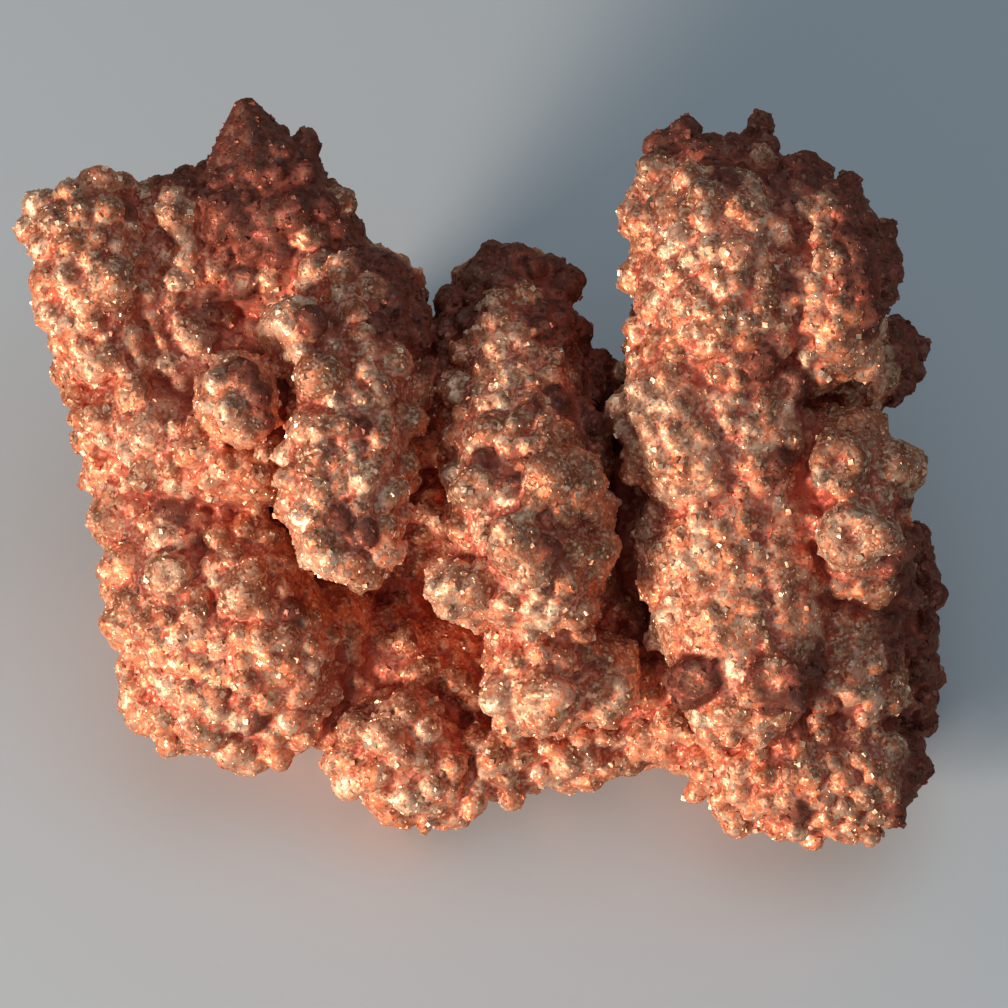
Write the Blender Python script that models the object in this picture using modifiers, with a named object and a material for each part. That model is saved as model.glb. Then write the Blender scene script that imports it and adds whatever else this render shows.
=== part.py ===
"""Native copper nugget: thick fingers of copper grown from one root, budded all over, in one piece.

The body is laid out over its broad face, in millimetres: u runs to the right, v up the face and w out
of it. It is then leaned back and stood on the flats worn on its own lowest buds, in metres, +Z up.
"""

import math
import random

import bmesh
import bpy
from mathutils import Matrix, Vector
from mathutils.bvhtree import BVHTree

MM = 0.001

# Driving dimensions, in millimetres unless the name says otherwise.
LEAN = math.radians(30.0)      # how far the broad face is tipped up from level
STAND = 7.3                    # height of the face frame's origin over the floor
CENTRE = (-0.04, 2.36)         # puts the origin under the middle of the body, in x and y
FOOT_WEAR = 0.35               # depth of the flat worn on each foot bud
CORE_VOXEL = 0.6               # grain of the unbudded body
SKIN_VOXEL = 0.42              # grain of the budded body
BUD_SINK = 0.3                 # share of its radius by which a bud is sunk in the body
FACET_COUNT = 9300             # triangles of the finished solid
SMALLEST_ROCK = 0.8            # radii of the buds on the sides and the back
LARGEST_ROCK = 1.7
ROCK_COUNT = 290
ROCK_GAP = 0.72                # least spacing of two of them, as a share of their radii together
ROCK_TOP = 12.6                # no such bud grows higher up the face, which keeps the peak clean
SIDE_RISE = 0.4                # how far they stand proud round the outline of the face
BACK_RISE = 0.7                # the same behind, as a share of the radius
BACK_FACING = -0.5             # w of the normal past which a spot counts as the back
SEED = 7

COPPER = (0.56, 0.25, 0.13, 1.0)

# Each finger is a chain of balls (u, v, w, radius) with a smooth taper between them.
FINGERS = {
    "left_head": [(-17.1, 10.3, 4.6, 2.5), (-17.0, 7.9, 5.0, 2.4), (-16.4, 5.7, 4.6, 1.7)],
    "left_neck": [(-16.5, 8.2, 4.0, 2.5), (-13.0, 6.6, 2.4, 2.8), (-9.6, 3.0, 0.5, 4.2)],
    "left_ledge": [(-14.8, 5.0, 4.2, 1.6), (-12.4, 4.6, 3.9, 1.8)],
    "left_ridge": [(-13.4, 11.0, 4.0, 1.7), (-12.5, 8.5, 3.2, 2.3)],
    "dark_shoulder": [(-11.0, 11.2, 4.0, 1.9), (-7.8, 11.3, 4.2, 1.9), (-8.0, 8.6, 3.1, 2.5),
                      (-10.6, 8.8, 2.7, 2.4)],
    "peak_root": [(-10.1, 12.4, 3.6, 2.1), (-8.7, 12.8, 3.6, 1.9)],
    "red_recess": [(-10.6, 7.0, 1.2, 2.8), (-10.0, 4.0, 1.4, 3.4)],
    "left_finger": [(-5.2, 7.4, 5.5, 2.7), (-5.6, 4.6, 7.6, 2.7), (-5.9, 1.2, 9.3, 2.7),
                    (-5.9, -2.0, 10.2, 2.3)],
    "finger_web": [(-6.4, 6.0, 3.4, 2.7), (-6.4, 2.4, 4.6, 3.1), (-6.6, -0.6, 2.6, 3.0)],
    "knuckle_dome": [(-8.0, 6.0, 8.2, 1.5), (-7.0, 4.2, 9.6, 1.3)],
    "bud_stalk": [(-10.6, 3.2, 8.0, 1.5), (-10.4, 2.2, 3.4, 2.8)],
    "left_flank": [(-15.4, 2.6, 4.4, 2.1), (-12.8, 1.0, 5.2, 2.4), (-9.8, 0.6, 6.4, 2.0)],
    "left_edge": [(-15.2, 0.4, 3.4, 1.9), (-14.6, -3.4, 3.0, 1.8)],
    "fist_left": [(-13.6, -2.8, 3.6, 2.5), (-12.8, -5.6, 4.2, 3.4), (-11.8, -8.6, 4.0, 3.2)],
    "fist_right": [(-10.4, -4.4, 5.0, 2.7), (-9.4, -7.0, 5.2, 3.1), (-9.0, -9.4, 3.8, 2.6)],
    "fist_heel": [(-6.8, -6.6, 3.2, 2.2), (-6.6, -8.4, 2.8, 1.9)],
    "middle_finger": [(1.2, 7.9, 3.0, 2.0), (1.5, 4.8, 5.2, 2.8), (1.6, 1.2, 7.8, 3.1),
                      (1.9, -2.0, 9.2, 3.4), (2.1, -4.0, 9.6, 2.9)],
    "middle_thumb": [(-1.0, 6.6, 3.4, 1.2), (-0.6, 3.6, 5.6, 1.7)],
    "middle_shoulder": [(4.5, 4.2, 2.8, 1.2), (4.0, 1.6, 4.4, 1.6)],
    "finger_join": [(-2.4, 4.4, 1.6, 1.3), (-2.4, 1.8, 2.0, 1.5)],
    "middle_root": [(1.4, 4.0, 2.4, 2.6), (2.0, -0.6, 3.4, 3.6), (2.8, -5.0, 3.0, 3.4)],
    "middle_nose": [(-0.9, -4.7, 9.6, 1.6), (0.8, -4.6, 8.0, 2.0)],
    "middle_toe": [(2.6, -6.4, 7.0, 2.2), (2.3, -9.0, 6.5, 2.3), (5.0, -8.6, 5.5, 1.9)],
    "saddle": [(-4.4, -5.6, -0.2, 2.4), (-2.6, -8.2, 0.0, 2.6), (-1.4, -9.8, 1.2, 2.6)],
    "bottom_head": [(-3.8, -11.6, 3.2, 2.7), (-2.6, -12.6, 3.0, 2.5)],
    "bottom_row": [(0.4, -12.2, 3.0, 1.6), (3.6, -11.7, 3.0, 1.6), (6.0, -11.1, 2.6, 1.5),
                   (8.4, -11.0, 3.2, 1.5)],
    "column_gap": [(6.2, -1.0, 0.6, 2.8), (6.2, -7.5, 1.5, 2.6)],
    "crown": [(10.2, 9.9, 7.9, 3.6), (10.4, 7.2, 8.1, 3.7)],
    "crown_brow": [(8.4, 12.7, 6.4, 1.3), (9.8, 12.9, 6.4, 1.5), (11.8, 13.2, 6.2, 1.3)],
    "crown_back": [(11.0, 7.4, 4.5, 4.0), (10.5, 2.0, 0.9, 4.8)],
    "crown_corner": [(13.2, 11.6, 8.0, 1.8), (15.4, 10.4, 8.2, 1.8), (15.4, 8.2, 8.6, 2.2),
                     (15.1, 6.0, 8.2, 1.9)],
    "crown_groove": [(13.2, 11.2, 7.9, 1.7), (13.3, 8.8, 8.8, 1.8), (13.4, 6.4, 8.6, 1.6)],
    "crown_chin": [(13.0, 4.7, 7.6, 1.7), (11.6, 4.8, 8.4, 1.8)],
    "side_knot": [(17.3, 5.3, 3.4, 1.5), (16.4, 3.9, 3.8, 1.4), (13.4, 3.4, 2.4, 2.6)],
    "neck": [(8.7, 5.0, 8.0, 2.3), (8.2, 2.6, 8.7, 2.4), (9.0, 0.6, 8.6, 2.4)],
    "neck_right": [(11.3, 3.8, 8.3, 2.2), (11.7, 1.2, 8.2, 2.3)],
    "neck_seam": [(10.2, 3.0, 8.5, 2.2), (10.2, 1.0, 8.3, 2.2), (10.3, 4.8, 8.5, 1.8)],
    "trunk_right": [(12.3, -1.5, 7.2, 2.4), (12.2, -4.5, 7.4, 2.4), (12.6, -7.2, 7.2, 2.4)],
    "trunk": [(11.6, 1.8, 5.2, 3.0), (10.6, -0.8, 6.6, 3.4), (10.1, -3.4, 6.9, 3.4),
              (10.8, -6.4, 6.9, 3.3), (11.4, -9.0, 7.0, 2.8)],
    "right_shoulder": [(15.6, 0.4, 6.8, 2.4), (16.0, -2.8, 6.8, 2.4), (16.4, -4.6, 5.2, 2.1)],
    "right_groove": [(13.4, 1.2, 6.8, 1.9), (13.4, -2.0, 7.2, 1.9), (13.6, -5.0, 6.5, 1.9),
                     (13.8, -7.6, 5.8, 1.9)],
    "waist_fill": [(14.0, -9.4, 5.3, 1.7), (14.2, -11.2, 5.2, 1.6)],
    "right_waist": [(15.4, -6.8, 4.8, 2.6), (15.8, -9.2, 4.4, 2.4)],
    "right_edge": [(18.6, -3.2, 2.0, 0.9), (18.8, -5.6, 1.6, 0.9), (18.8, -8.0, 1.6, 0.9),
                   (18.6, -10.2, 1.8, 1.0)],
    "edge_web": [(17.0, -3.4, 1.8, 1.6), (17.2, -9.8, 2.0, 1.6)],
    "right_foot": [(11.6, -12.4, 4.6, 2.3), (13.8, -13.0, 5.2, 2.6), (16.2, -13.0, 4.8, 2.3),
                   (18.0, -12.8, 3.6, 1.3)],
    "core": [(-11.0, -3.0, -0.5, 4.0), (-4.0, -3.0, -1.2, 4.4), (4.0, -3.0, -1.2, 4.4),
             (11.5, -3.0, 0.5, 4.8)],
    "keel": [(-9.0, -8.0, 0.8, 3.5), (0.0, -9.0, 1.0, 3.0), (9.0, -9.0, 1.5, 3.5),
             (14.0, -10.0, 2.4, 3.1)],
    "rear_left": [(-7.5, 2.3, -5.3, 3.3), (-6.0, -1.0, -2.0, 4.0)],
    "rear_right": [(8.6, 1.8, -5.2, 3.4), (8.0, -1.0, -1.6, 4.2)],
    "rear_bridge": [(-2.0, -1.0, -3.0, 3.2), (3.0, -0.6, -3.0, 3.2)],
}

# The pointed crystal on the dark shoulder: base centre, tip and base radius.
PEAK_BASE = (-9.9, 13.4, 3.4)
PEAK_TIP = (-10.4, 16.4, 3.7)
PEAK_RADIUS = 2.75
PEAK_TIP_RADIUS = 0.4
PEAK_SIDES = 6
PEAK_ROOT = (2.4, 1.5)         # depth below the base, and radius there, to which it tapers into the body

# Larger buds of the broad face, as (u, v, radius); each sits on the finger below it.
FACE_BUDS = {
    "left_head": [(-16.6, 12.6, 0.85), (-17.9, 12.2, 0.7), (-18.9, 11.7, 0.7), (-15.7, 12.5, 0.7),
                  (-19.25, 10.7, 0.75), (-18.9, 9.9, 0.8), (-17.6, 10.6, 0.9), (-16.3, 11.2, 0.8),
                  (-18.9, 8.4, 0.9), (-16.0, 8.4, 1.25), (-18.5, 7.0, 0.85), (-17.2, 6.7, 0.8),
                  (-18.1, 5.8, 0.7), (-16.6, 5.0, 1.25), (-14.7, 8.0, 0.7), (-14.8, 5.0, 0.8)],
    "shoulder": [(-13.6, 12.4, 0.7), (-14.6, 12.2, 0.65), (-13.3, 11.2, 0.95), (-14.4, 10.0, 0.8),
                 (-13.0, 9.0, 0.8), (-11.4, 11.6, 0.9), (-8.2, 11.4, 1.1), (-6.2, 11.9, 0.8),
                 (-6.35, 10.7, 0.8), (-10.4, 8.4, 0.85), (-12.8, 6.1, 0.9), (-7.8, 14.2, 0.7),
                 (-8.9, 14.6, 0.6)],
    "left_flank": [(-17.35, 3.3, 0.7), (-16.7, 2.4, 0.85), (-15.2, 3.6, 0.95), (-14.5, 1.8, 1.0),
                   (-12.4, 1.4, 0.8), (-16.5, 0.3, 0.8), (-14.5, 0.2, 0.7), (-11.0, 0.5, 0.9),
                   (-9.8, 0.0, 0.8), (-10.6, 3.2, 1.95)],
    "left_finger": [(-7.2, 8.7, 0.95), (-5.6, 8.9, 0.8), (-4.2, 8.7, 0.75), (-5.0, 7.8, 0.8),
                    (-3.4, 8.0, 0.6), (-3.0, 6.9, 0.85), (-8.0, 6.3, 1.5), (-7.0, 4.3, 1.2),
                    (-3.8, 4.8, 0.9), (-2.8, 4.4, 0.8), (-4.4, 3.5, 0.9), (-3.1, 3.6, 0.8),
                    (-6.9, 1.9, 1.0), (-4.4, 1.7, 0.8), (-7.1, 0.5, 1.0), (-8.1, -0.2, 0.7),
                    (-7.0, -0.8, 0.9), (-5.1, -0.1, 0.9), (-4.0, -0.9, 0.8), (-7.1, -2.0, 0.8),
                    (-6.7, -3.2, 1.15), (-5.2, -4.0, 0.9), (-4.4, -2.8, 0.9)],
    "fist": [(-15.8, -1.6, 0.95), (-13.3, -1.8, 1.05), (-13.8, -2.7, 0.8), (-13.6, -4.3, 1.15),
             (-15.4, -3.9, 0.95), (-15.3, -5.7, 0.8), (-15.2, -7.0, 0.8), (-14.2, -6.6, 0.8),
             (-10.9, -3.6, 0.8), (-10.3, -5.0, 1.2), (-8.7, -4.9, 0.8), (-12.3, -7.0, 0.8),
             (-9.5, -7.0, 0.85), (-13.9, -7.6, 0.8), (-11.3, -8.5, 0.9), (-10.0, -8.8, 0.8),
             (-14.9, -9.2, 0.75), (-14.9, -10.5, 0.8), (-13.8, -10.7, 0.95), (-12.5, -10.9, 0.8),
             (-11.0, -10.3, 0.8), (-10.5, -11.8, 0.8), (-10.0, -12.3, 0.75), (-9.0, -11.8, 0.8),
             (-7.8, -10.9, 0.8), (-6.6, -9.4, 0.7), (-5.5, -9.0, 0.7), (-6.4, -7.2, 0.7)],
    "middle_finger": [(0.4, 9.2, 0.9), (1.4, 9.2, 0.95), (2.8, 8.5, 0.75), (3.5, 7.9, 0.8),
                      (-1.35, 7.4, 0.75), (-1.5, 6.4, 0.75), (1.9, 7.6, 0.8), (3.4, 6.5, 0.8),
                      (4.9, 4.5, 0.9), (-1.0, 3.7, 0.9), (1.3, 4.0, 0.9), (0.3, 1.8, 0.9),
                      (2.7, 2.0, 0.8), (-0.3, -0.6, 1.15), (3.3, -0.4, 1.4), (4.6, -1.6, 0.9),
                      (1.5, -3.1, 1.45), (2.2, -4.1, 0.9), (4.8, -3.3, 1.0), (-1.2, -4.9, 1.35),
                      (-1.9, -1.9, 0.8), (0.6, -5.6, 0.8)],
    "bottom": [(2.2, -9.4, 1.35), (0.9, -9.3, 0.8), (5.6, -9.4, 1.15), (2.9, -7.9, 0.8),
               (-5.6, -11.1, 0.9), (-4.3, -11.2, 1.05), (-3.3, -10.2, 0.9), (-5.8, -12.6, 0.85),
               (-4.4, -13.7, 0.85), (-3.2, -14.2, 1.05), (-1.4, -14.7, 0.75), (-0.4, -14.0, 0.75),
               (-2.2, -12.6, 0.8), (0.4, -12.4, 0.95), (3.5, -12.2, 0.9), (5.8, -12.2, 0.7),
               (8.2, -11.0, 0.9)],
    "crown": [(7.8, 14.2, 0.75), (8.7, 14.3, 0.75), (9.9, 13.9, 0.6), (12.1, 14.95, 0.65),
              (12.2, 14.2, 0.85), (11.3, 14.1, 0.6), (13.5, 13.1, 0.85), (15.7, 12.3, 0.7), (17.2, 10.5, 0.8),
              (17.3, 9.2, 0.8), (17.3, 8.1, 0.75), (7.3, 13.2, 0.7), (6.75, 12.1, 0.55), (6.6, 11.0, 0.65),
              (9.2, 12.3, 0.95), (12.7, 10.3, 0.8), (10.9, 9.5, 0.9), (8.5, 10.2, 0.8),
              (12.0, 8.6, 0.75), (8.6, 7.3, 0.8), (12.1, 7.4, 0.8), (10.3, 6.5, 0.8),
              (11.9, 5.0, 0.95), (13.2, 3.9, 0.85), (14.9, 9.1, 0.95), (16.5, 7.0, 0.8),
              (14.6, 6.5, 0.9), (17.8, 6.0, 0.9), (18.6, 4.8, 0.7), (16.4, 4.2, 0.8),
              (6.8, 6.1, 0.6)],
    "neck": [(6.05, 3.0, 0.8), (7.9, 4.2, 0.8), (7.2, 2.1, 0.85), (8.6, 2.0, 0.8),
             (6.8, 1.2, 0.75), (10.2, 3.2, 0.7), (9.1, 0.4, 0.9), (12.7, 0.5, 0.95),
             (11.3, 0.3, 0.8), (9.4, -1.9, 0.8), (7.4, -2.7, 0.95), (7.9, -3.8, 0.8),
             (11.9, -3.5, 0.9), (13.4, -4.1, 0.9), (12.8, -5.2, 0.8)],
    "trunk": [(8.2, -5.8, 0.7), (9.2, -8.8, 1.15), (12.5, -9.0, 1.35), (11.1, -9.9, 0.8),
              (13.1, -7.4, 0.7), (10.0, -6.2, 0.8)],
    "right_side": [(15.6, 0.8, 1.15), (18.0, 0.2, 1.2), (15.7, -2.6, 1.45), (17.4, -2.9, 0.95),
                   (16.8, -4.8, 0.8), (15.6, -6.8, 0.9), (17.4, -6.6, 0.8), (16.0, -9.4, 0.9),
                   (17.7, -9.2, 0.7), (18.9, -2.7, 0.6), (19.25, -4.2, 0.65), (19.35, -5.6, 0.6),
                   (19.3, -7.0, 0.6), (19.35, -9.7, 0.65)],
    "right_foot": [(9.6, -12.9, 0.8), (10.8, -14.4, 0.8), (11.1, -12.8, 0.7), (12.8, -15.1, 0.8),
                   (14.4, -15.4, 0.8), (13.5, -14.0, 0.8), (14.2, -12.8, 0.8), (16.5, -15.1, 0.75),
                   (16.2, -13.4, 0.9), (18.6, -12.7, 0.85), (18.1, -13.9, 0.6)],
}

# Foot buds under the body: (u, distance behind the front of the base, radius), lowest point at the floor.
FEET = [(-9.2, 0.9, 1.9), (9.6, 0.2, 2.0), (-7.4, 12.0, 2.1), (8.4, 12.4, 2.2), (0.4, 1.6, 1.9),
        (1.0, 5.5, 2.2)]
BASE_FRONT = -8.0              # where the base begins, in the leaned frame


def clear_scene():
    """Empties the scene, so that the model is all it holds."""
    for old in list(bpy.data.objects):
        bpy.data.objects.remove(old, do_unlink=True)


def make_collection(name):
    """Returns a new collection linked to the scene."""
    made = bpy.data.collections.new(name)
    bpy.context.scene.collection.children.link(made)
    return made


def copper_material():
    """Plain metallic copper with a dull natural surface."""
    made = bpy.data.materials.new("native_copper")
    made.use_nodes = True
    shader = made.node_tree.nodes["Principled BSDF"]
    shader.inputs["Base Color"].default_value = COPPER
    shader.inputs["Metallic"].default_value = 1.0
    shader.inputs["Roughness"].default_value = 0.42
    return made


def add_ball(body, centre, radius, detail=2):
    """Adds one ball to the body."""
    bmesh.ops.create_icosphere(
        body, subdivisions=detail, radius=radius, matrix=Matrix.Translation(centre)
    )


def add_chain(body, chain):
    """Adds a finger: balls along a chain, close enough to read as one tapered limb."""
    for (*start, first), (*end, last) in zip(chain, chain[1:]):
        start, end = Vector(start), Vector(end)
        steps = max(1, math.ceil((end - start).length / (0.3 * min(first, last))))
        for step in range(steps + 1):
            share = step / steps
            add_ball(body, start.lerp(end, share), first + (last - first) * share, 3)


def add_peak(body):
    """Adds the pointed crystal, a six-sided cone, and the cone that roots it in the body."""
    base, tip = Vector(PEAK_BASE), Vector(PEAK_TIP)
    turn = (tip - base).to_track_quat("Z", "Y").to_matrix().to_4x4()
    depth, radius = PEAK_ROOT
    root = base - (tip - base).normalized() * depth
    for low, high, wide, narrow in ((base, tip, PEAK_RADIUS, PEAK_TIP_RADIUS),
                                    (root, base, radius, PEAK_RADIUS)):
        bmesh.ops.create_cone(
            body, cap_ends=True, segments=PEAK_SIDES, radius1=wide, radius2=narrow,
            depth=(high - low).length, matrix=Matrix.Translation((low + high) / 2) @ turn,
        )


def grown_together(parts, voxel):
    """Returns the overlapping parts of a bmesh as one skin, rebuilt at the voxel size."""
    mesh = bpy.data.meshes.new("loose_parts")
    parts.to_mesh(mesh)
    loose = bpy.data.objects.new("loose_parts", mesh)
    bpy.context.scene.collection.objects.link(loose)
    skin = loose.modifiers.new("skin", "REMESH")
    skin.mode = "VOXEL"
    skin.voxel_size = voxel
    joined = bpy.data.meshes.new_from_object(
        loose.evaluated_get(bpy.context.evaluated_depsgraph_get())
    )
    bpy.data.objects.remove(loose, do_unlink=True)
    bpy.data.meshes.remove(mesh)
    return joined


def keep_outer_shell(mesh):
    """Removes every closed shell of the mesh but the largest, which leaves no sealed hollow."""
    body = bmesh.new()
    body.from_mesh(mesh)
    body.verts.ensure_lookup_table()
    unseen, shells = set(body.verts), []
    while unseen:
        shell, front = set(), [unseen.pop()]
        while front:
            vert = front.pop()
            shell.add(vert)
            for edge in vert.link_edges:
                other = edge.other_vert(vert)
                if other in unseen:
                    unseen.remove(other)
                    front.append(other)
        shells.append(shell)
    shells.sort(key=len)
    for shell in shells[:-1]:
        bmesh.ops.delete(body, geom=list(shell), context="VERTS")
    body.to_mesh(mesh)
    body.free()


def bud_seat(surface, u, v):
    """The point of the body that a bud at u, v on the broad face grows from."""
    point = surface.ray_cast(Vector((u, v, 60.0)), Vector((0.0, 0.0, -1.0)))[0]
    if point is None:
        point = Vector((u, v, 5.0))
        for _ in range(4):
            point = Vector((u, v, surface.find_nearest(point)[0].z))
    return point


def add_face_buds(body, surface):
    """Adds the buds of the broad face, each sunk a little in the finger below it."""
    for buds in FACE_BUDS.values():
        for u, v, radius in buds:
            add_ball(body, bud_seat(surface, u, v) - Vector((0, 0, BUD_SINK * radius)), radius)


def add_hidden_buds(body, surface, mesh):
    """Adds rounder, plainer buds all over the sides and the back, spaced so that they jostle."""
    picks = random.Random(SEED)
    mesh.calc_loop_triangles()
    faces = [f for f in mesh.polygons if f.normal.z < 0.15]
    picks.shuffle(faces)
    placed = []
    for face in faces:
        radius = picks.uniform(SMALLEST_ROCK, LARGEST_ROCK)
        rise = BACK_RISE * radius if face.normal.z < BACK_FACING else SIDE_RISE
        centre = face.center - face.normal * (radius - rise)
        clear = all((centre - other).length > ROCK_GAP * (radius + size) for other, size in placed)
        if clear and centre.y < ROCK_TOP:
            placed.append((centre, radius))
            add_ball(body, centre, radius)
        if len(placed) == ROCK_COUNT:
            break


def lean_back():
    """The move from the face frame, in millimetres, to the standing nugget, in metres."""
    stood = Matrix.Translation((CENTRE[0], CENTRE[1], STAND)) @ Matrix.Rotation(LEAN, 4, "X")
    return Matrix.Scale(MM, 4) @ stood


def add_feet(body):
    """Adds the foot buds, which reach just below the floor so that they are worn flat there."""
    to_face = Matrix.Rotation(-LEAN, 4, "X") @ Matrix.Translation((0, 0, -STAND))
    for u, depth, radius in FEET:
        add_ball(body, to_face @ Vector((u, BASE_FRONT + depth, radius - FOOT_WEAR)), radius, 3)


def make_floor_cutter(collection):
    """A block whose top is the floor; it wears the feet flat."""
    mesh = bpy.data.meshes.new("floor_cutter")
    block = bmesh.new()
    bmesh.ops.create_cube(block, size=1.0)
    bmesh.ops.transform(block, matrix=Matrix.Diagonal((0.08, 0.08, 0.02, 1.0)), verts=block.verts)
    bmesh.ops.translate(block, vec=(0, 0, -0.01), verts=block.verts)
    block.to_mesh(mesh)
    block.free()
    cutter = bpy.data.objects.new("floor_cutter", mesh)
    cutter.hide_render = True
    cutter.display_type = "WIRE"
    collection.objects.link(cutter)
    return cutter


def make_nugget(collection, cutter):
    """The whole nugget as one solid, simplified to flat facets and worn flat at the floor."""
    fingers = bmesh.new()
    for chain in FINGERS.values():
        add_chain(fingers, chain)
    add_peak(fingers)
    core = grown_together(fingers, CORE_VOXEL)
    surface = BVHTree.FromPolygons([v.co for v in core.vertices], [p.vertices for p in core.polygons])
    add_face_buds(fingers, surface)
    add_hidden_buds(fingers, surface, core)
    add_feet(fingers)
    mesh = grown_together(fingers, SKIN_VOXEL)
    fingers.free()
    bpy.data.meshes.remove(core)
    keep_outer_shell(mesh)
    mesh.transform(lean_back())
    mesh.name = "copper_nugget"
    mesh.materials.clear()
    mesh.materials.append(copper_material())
    nugget = bpy.data.objects.new("copper_nugget", mesh)
    collection.objects.link(nugget)
    simplify = nugget.modifiers.new("facets", "DECIMATE")
    simplify.ratio = FACET_COUNT / (2 * len(mesh.polygons))
    wear = nugget.modifiers.new("floor_wear", "BOOLEAN")
    wear.operation = "DIFFERENCE"
    wear.object = cutter
    return nugget


def build():
    """Builds the nugget and its cutter in their collections."""
    clear_scene()
    cutter = make_floor_cutter(make_collection("nugget_cutters"))
    make_nugget(make_collection("native_copper_nugget"), cutter)


build()
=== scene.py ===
"""Looks of the native copper nugget: one mass of budded copper, crusted with sugary crystals.

The nugget is shaped over its broad face, in millimetres, as in the CAD: u runs to the right, v up the face
and w out of it. Fingers and buds are heaped up, grown together into one skin, crusted, and then leaned back
and stood on the floor, in metres. Fine crystals are strewn over the skin afterwards.
"""

import math
import random

import bmesh
import bpy
import numpy as np
from mathutils import Matrix, Vector
from mathutils.bvhtree import BVHTree

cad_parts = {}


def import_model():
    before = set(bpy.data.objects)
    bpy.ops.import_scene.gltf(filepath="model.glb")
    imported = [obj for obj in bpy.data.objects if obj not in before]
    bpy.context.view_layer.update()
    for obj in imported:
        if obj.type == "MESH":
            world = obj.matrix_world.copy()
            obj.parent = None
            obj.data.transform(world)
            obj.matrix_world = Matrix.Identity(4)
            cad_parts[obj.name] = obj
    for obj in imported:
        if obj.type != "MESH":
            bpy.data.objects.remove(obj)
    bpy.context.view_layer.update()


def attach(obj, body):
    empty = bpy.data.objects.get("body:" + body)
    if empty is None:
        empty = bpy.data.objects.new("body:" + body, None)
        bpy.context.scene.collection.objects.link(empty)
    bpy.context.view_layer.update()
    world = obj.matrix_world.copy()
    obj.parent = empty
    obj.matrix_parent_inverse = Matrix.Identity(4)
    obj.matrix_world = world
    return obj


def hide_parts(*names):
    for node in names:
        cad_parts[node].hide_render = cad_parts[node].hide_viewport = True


MM = 0.001
NODE = "copper_nugget"
SEED = 11

# The CAD's own sizes, in millimetres unless the name says otherwise.
LEAN = math.radians(30.0)      # how far the broad face is tipped up from level
STAND = 7.3                    # height of the face frame's origin over the floor
CENTRE = (-0.04, 2.36)         # x and y of the face frame's origin
FOOT_WEAR = 0.35               # depth of the flat worn on each foot bud
FEET_FRONT = -8.0              # y from which the feet's depths are measured, before CENTRE is added
FEET = [(-9.2, 0.9, 1.9), (9.6, 0.2, 2.0), (-7.4, 12.0, 2.1), (8.4, 12.4, 2.2), (0.4, 1.6, 1.9),
        (1.0, 5.5, 2.2)]       # each foot bud as (u, depth behind the front, radius)
BALL_STEP = 0.3                # distance between the balls of a finger, as a share of the smaller radius

# Rocks are the plainer lumps of the sides and the back.
ROCK_VOXEL = 0.6               # cell at which the fingers grow together before the rocks are set on them
ROCK_COUNT = 290
ROCK_SEED = 7
SMALLEST_ROCK, LARGEST_ROCK = 0.8, 1.7
ROCK_GAP = 0.72                # least distance between two rocks, as a share of their radii together
ROCK_TOP = 12.6                # v above which there are none
SIDE_FACING = 0.15             # w of the skin's normal below which it is a side
BACK_FACING = -0.5             # and below which it is the back
SIDE_RISE = 0.4                # how far a rock stands out of a side
BACK_RISE = 0.7                # how far one stands out of the back, as a share of its radius

# The skin.
SKIN_VOXEL = 0.3               # cell at which fingers, rocks and buds grow together under the young buds
CRUST_VOXEL = 0.14             # cell of the finished skin
SKIN_TRIANGLES = 196000
CRUST = {"Knob height": 0.03, "Knob size": 0.7, "Grain height": 0.04, "Grain size": 0.36, "Tilt": 0.16,
         "Pit depth": 0.05, "Pit size": 0.8}

# The buds of the broad face. Sinks, flats and rises are shares of a bud's radius.
BIG_BUD = 1.0                  # from this radius on, a bud carries smaller ones
BOLD_BUD = 1.1                 # a larger one stands as proud as any wherever it is, and nothing grows on it
BOLD_SINK = -0.04              # a bold bud isn't sunk in the body but lifted a little
BUD_SINK = 0.14                # how deep the other buds are sunk
SINK_BY_AREA = {"left_head": 0.32, "crown": 0.26, "neck": 0.6, "trunk": 0.58, "fist": 0.24}
BUD_SIZES = (0.9, 1.06)        # how a bud's radius varies
BUD_STRETCH = (0.92, 1.08)     # how its width, height and depth vary
BUD_FLATS = (7, 12)            # at least, and fewer than, so many flats on a bud
SHARP_REACH = (0.74, 0.94)     # how far the flats of a bright bud lie from its middle
ROUND_REACH = (0.82, 0.97)     # and those of any other
PIT_WIDTH = 0.46               # half the width of a ring bud's pit, in radians off PIT_WAY
RIM_RISE = 0.1                 # height of the rim round it
RIM_PLACE, RIM_WIDTH = 0.88, 0.24   # where the rim is and half its width, in radians

# Young buds are strewn over the broad face and over the rest.
YOUNG_FRONT = {"Spacing": 0.85, "Smallest": 0.12, "Largest": 0.36, "Sink": 0.08,
               "Facing from": 0.0, "Facing to": 2.0, "Seed": 11}
YOUNG_BACK = {"Spacing": 0.95, "Smallest": 0.4, "Largest": 0.8, "Sink": 0.25,
              "Facing from": -2.0, "Facing to": 0.0, "Seed": 12}
YOUNG_DENSITY = 40.0
YOUNG_LUMPS, YOUNG_LUMP_SCALE = 0.5, 1.3   # how uneven a young bud is
YOUNG_POINTS, YOUNG_FACES = 42, 80         # of each young bud's ball
BARE_TOP, BARE_REACH = 0.35, 0.3           # cosine from w, and distance off a bud, that count as its top
FLAT_SINK = 0.3                            # a bud sunk deeper than this counts as flat
BARE_SHARE = 0.8                           # share of young buds left out on tops and on flat buds
PEAK_BARE_SIDE = 0.4                       # how far right of its base's centre the peak stays bare

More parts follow.
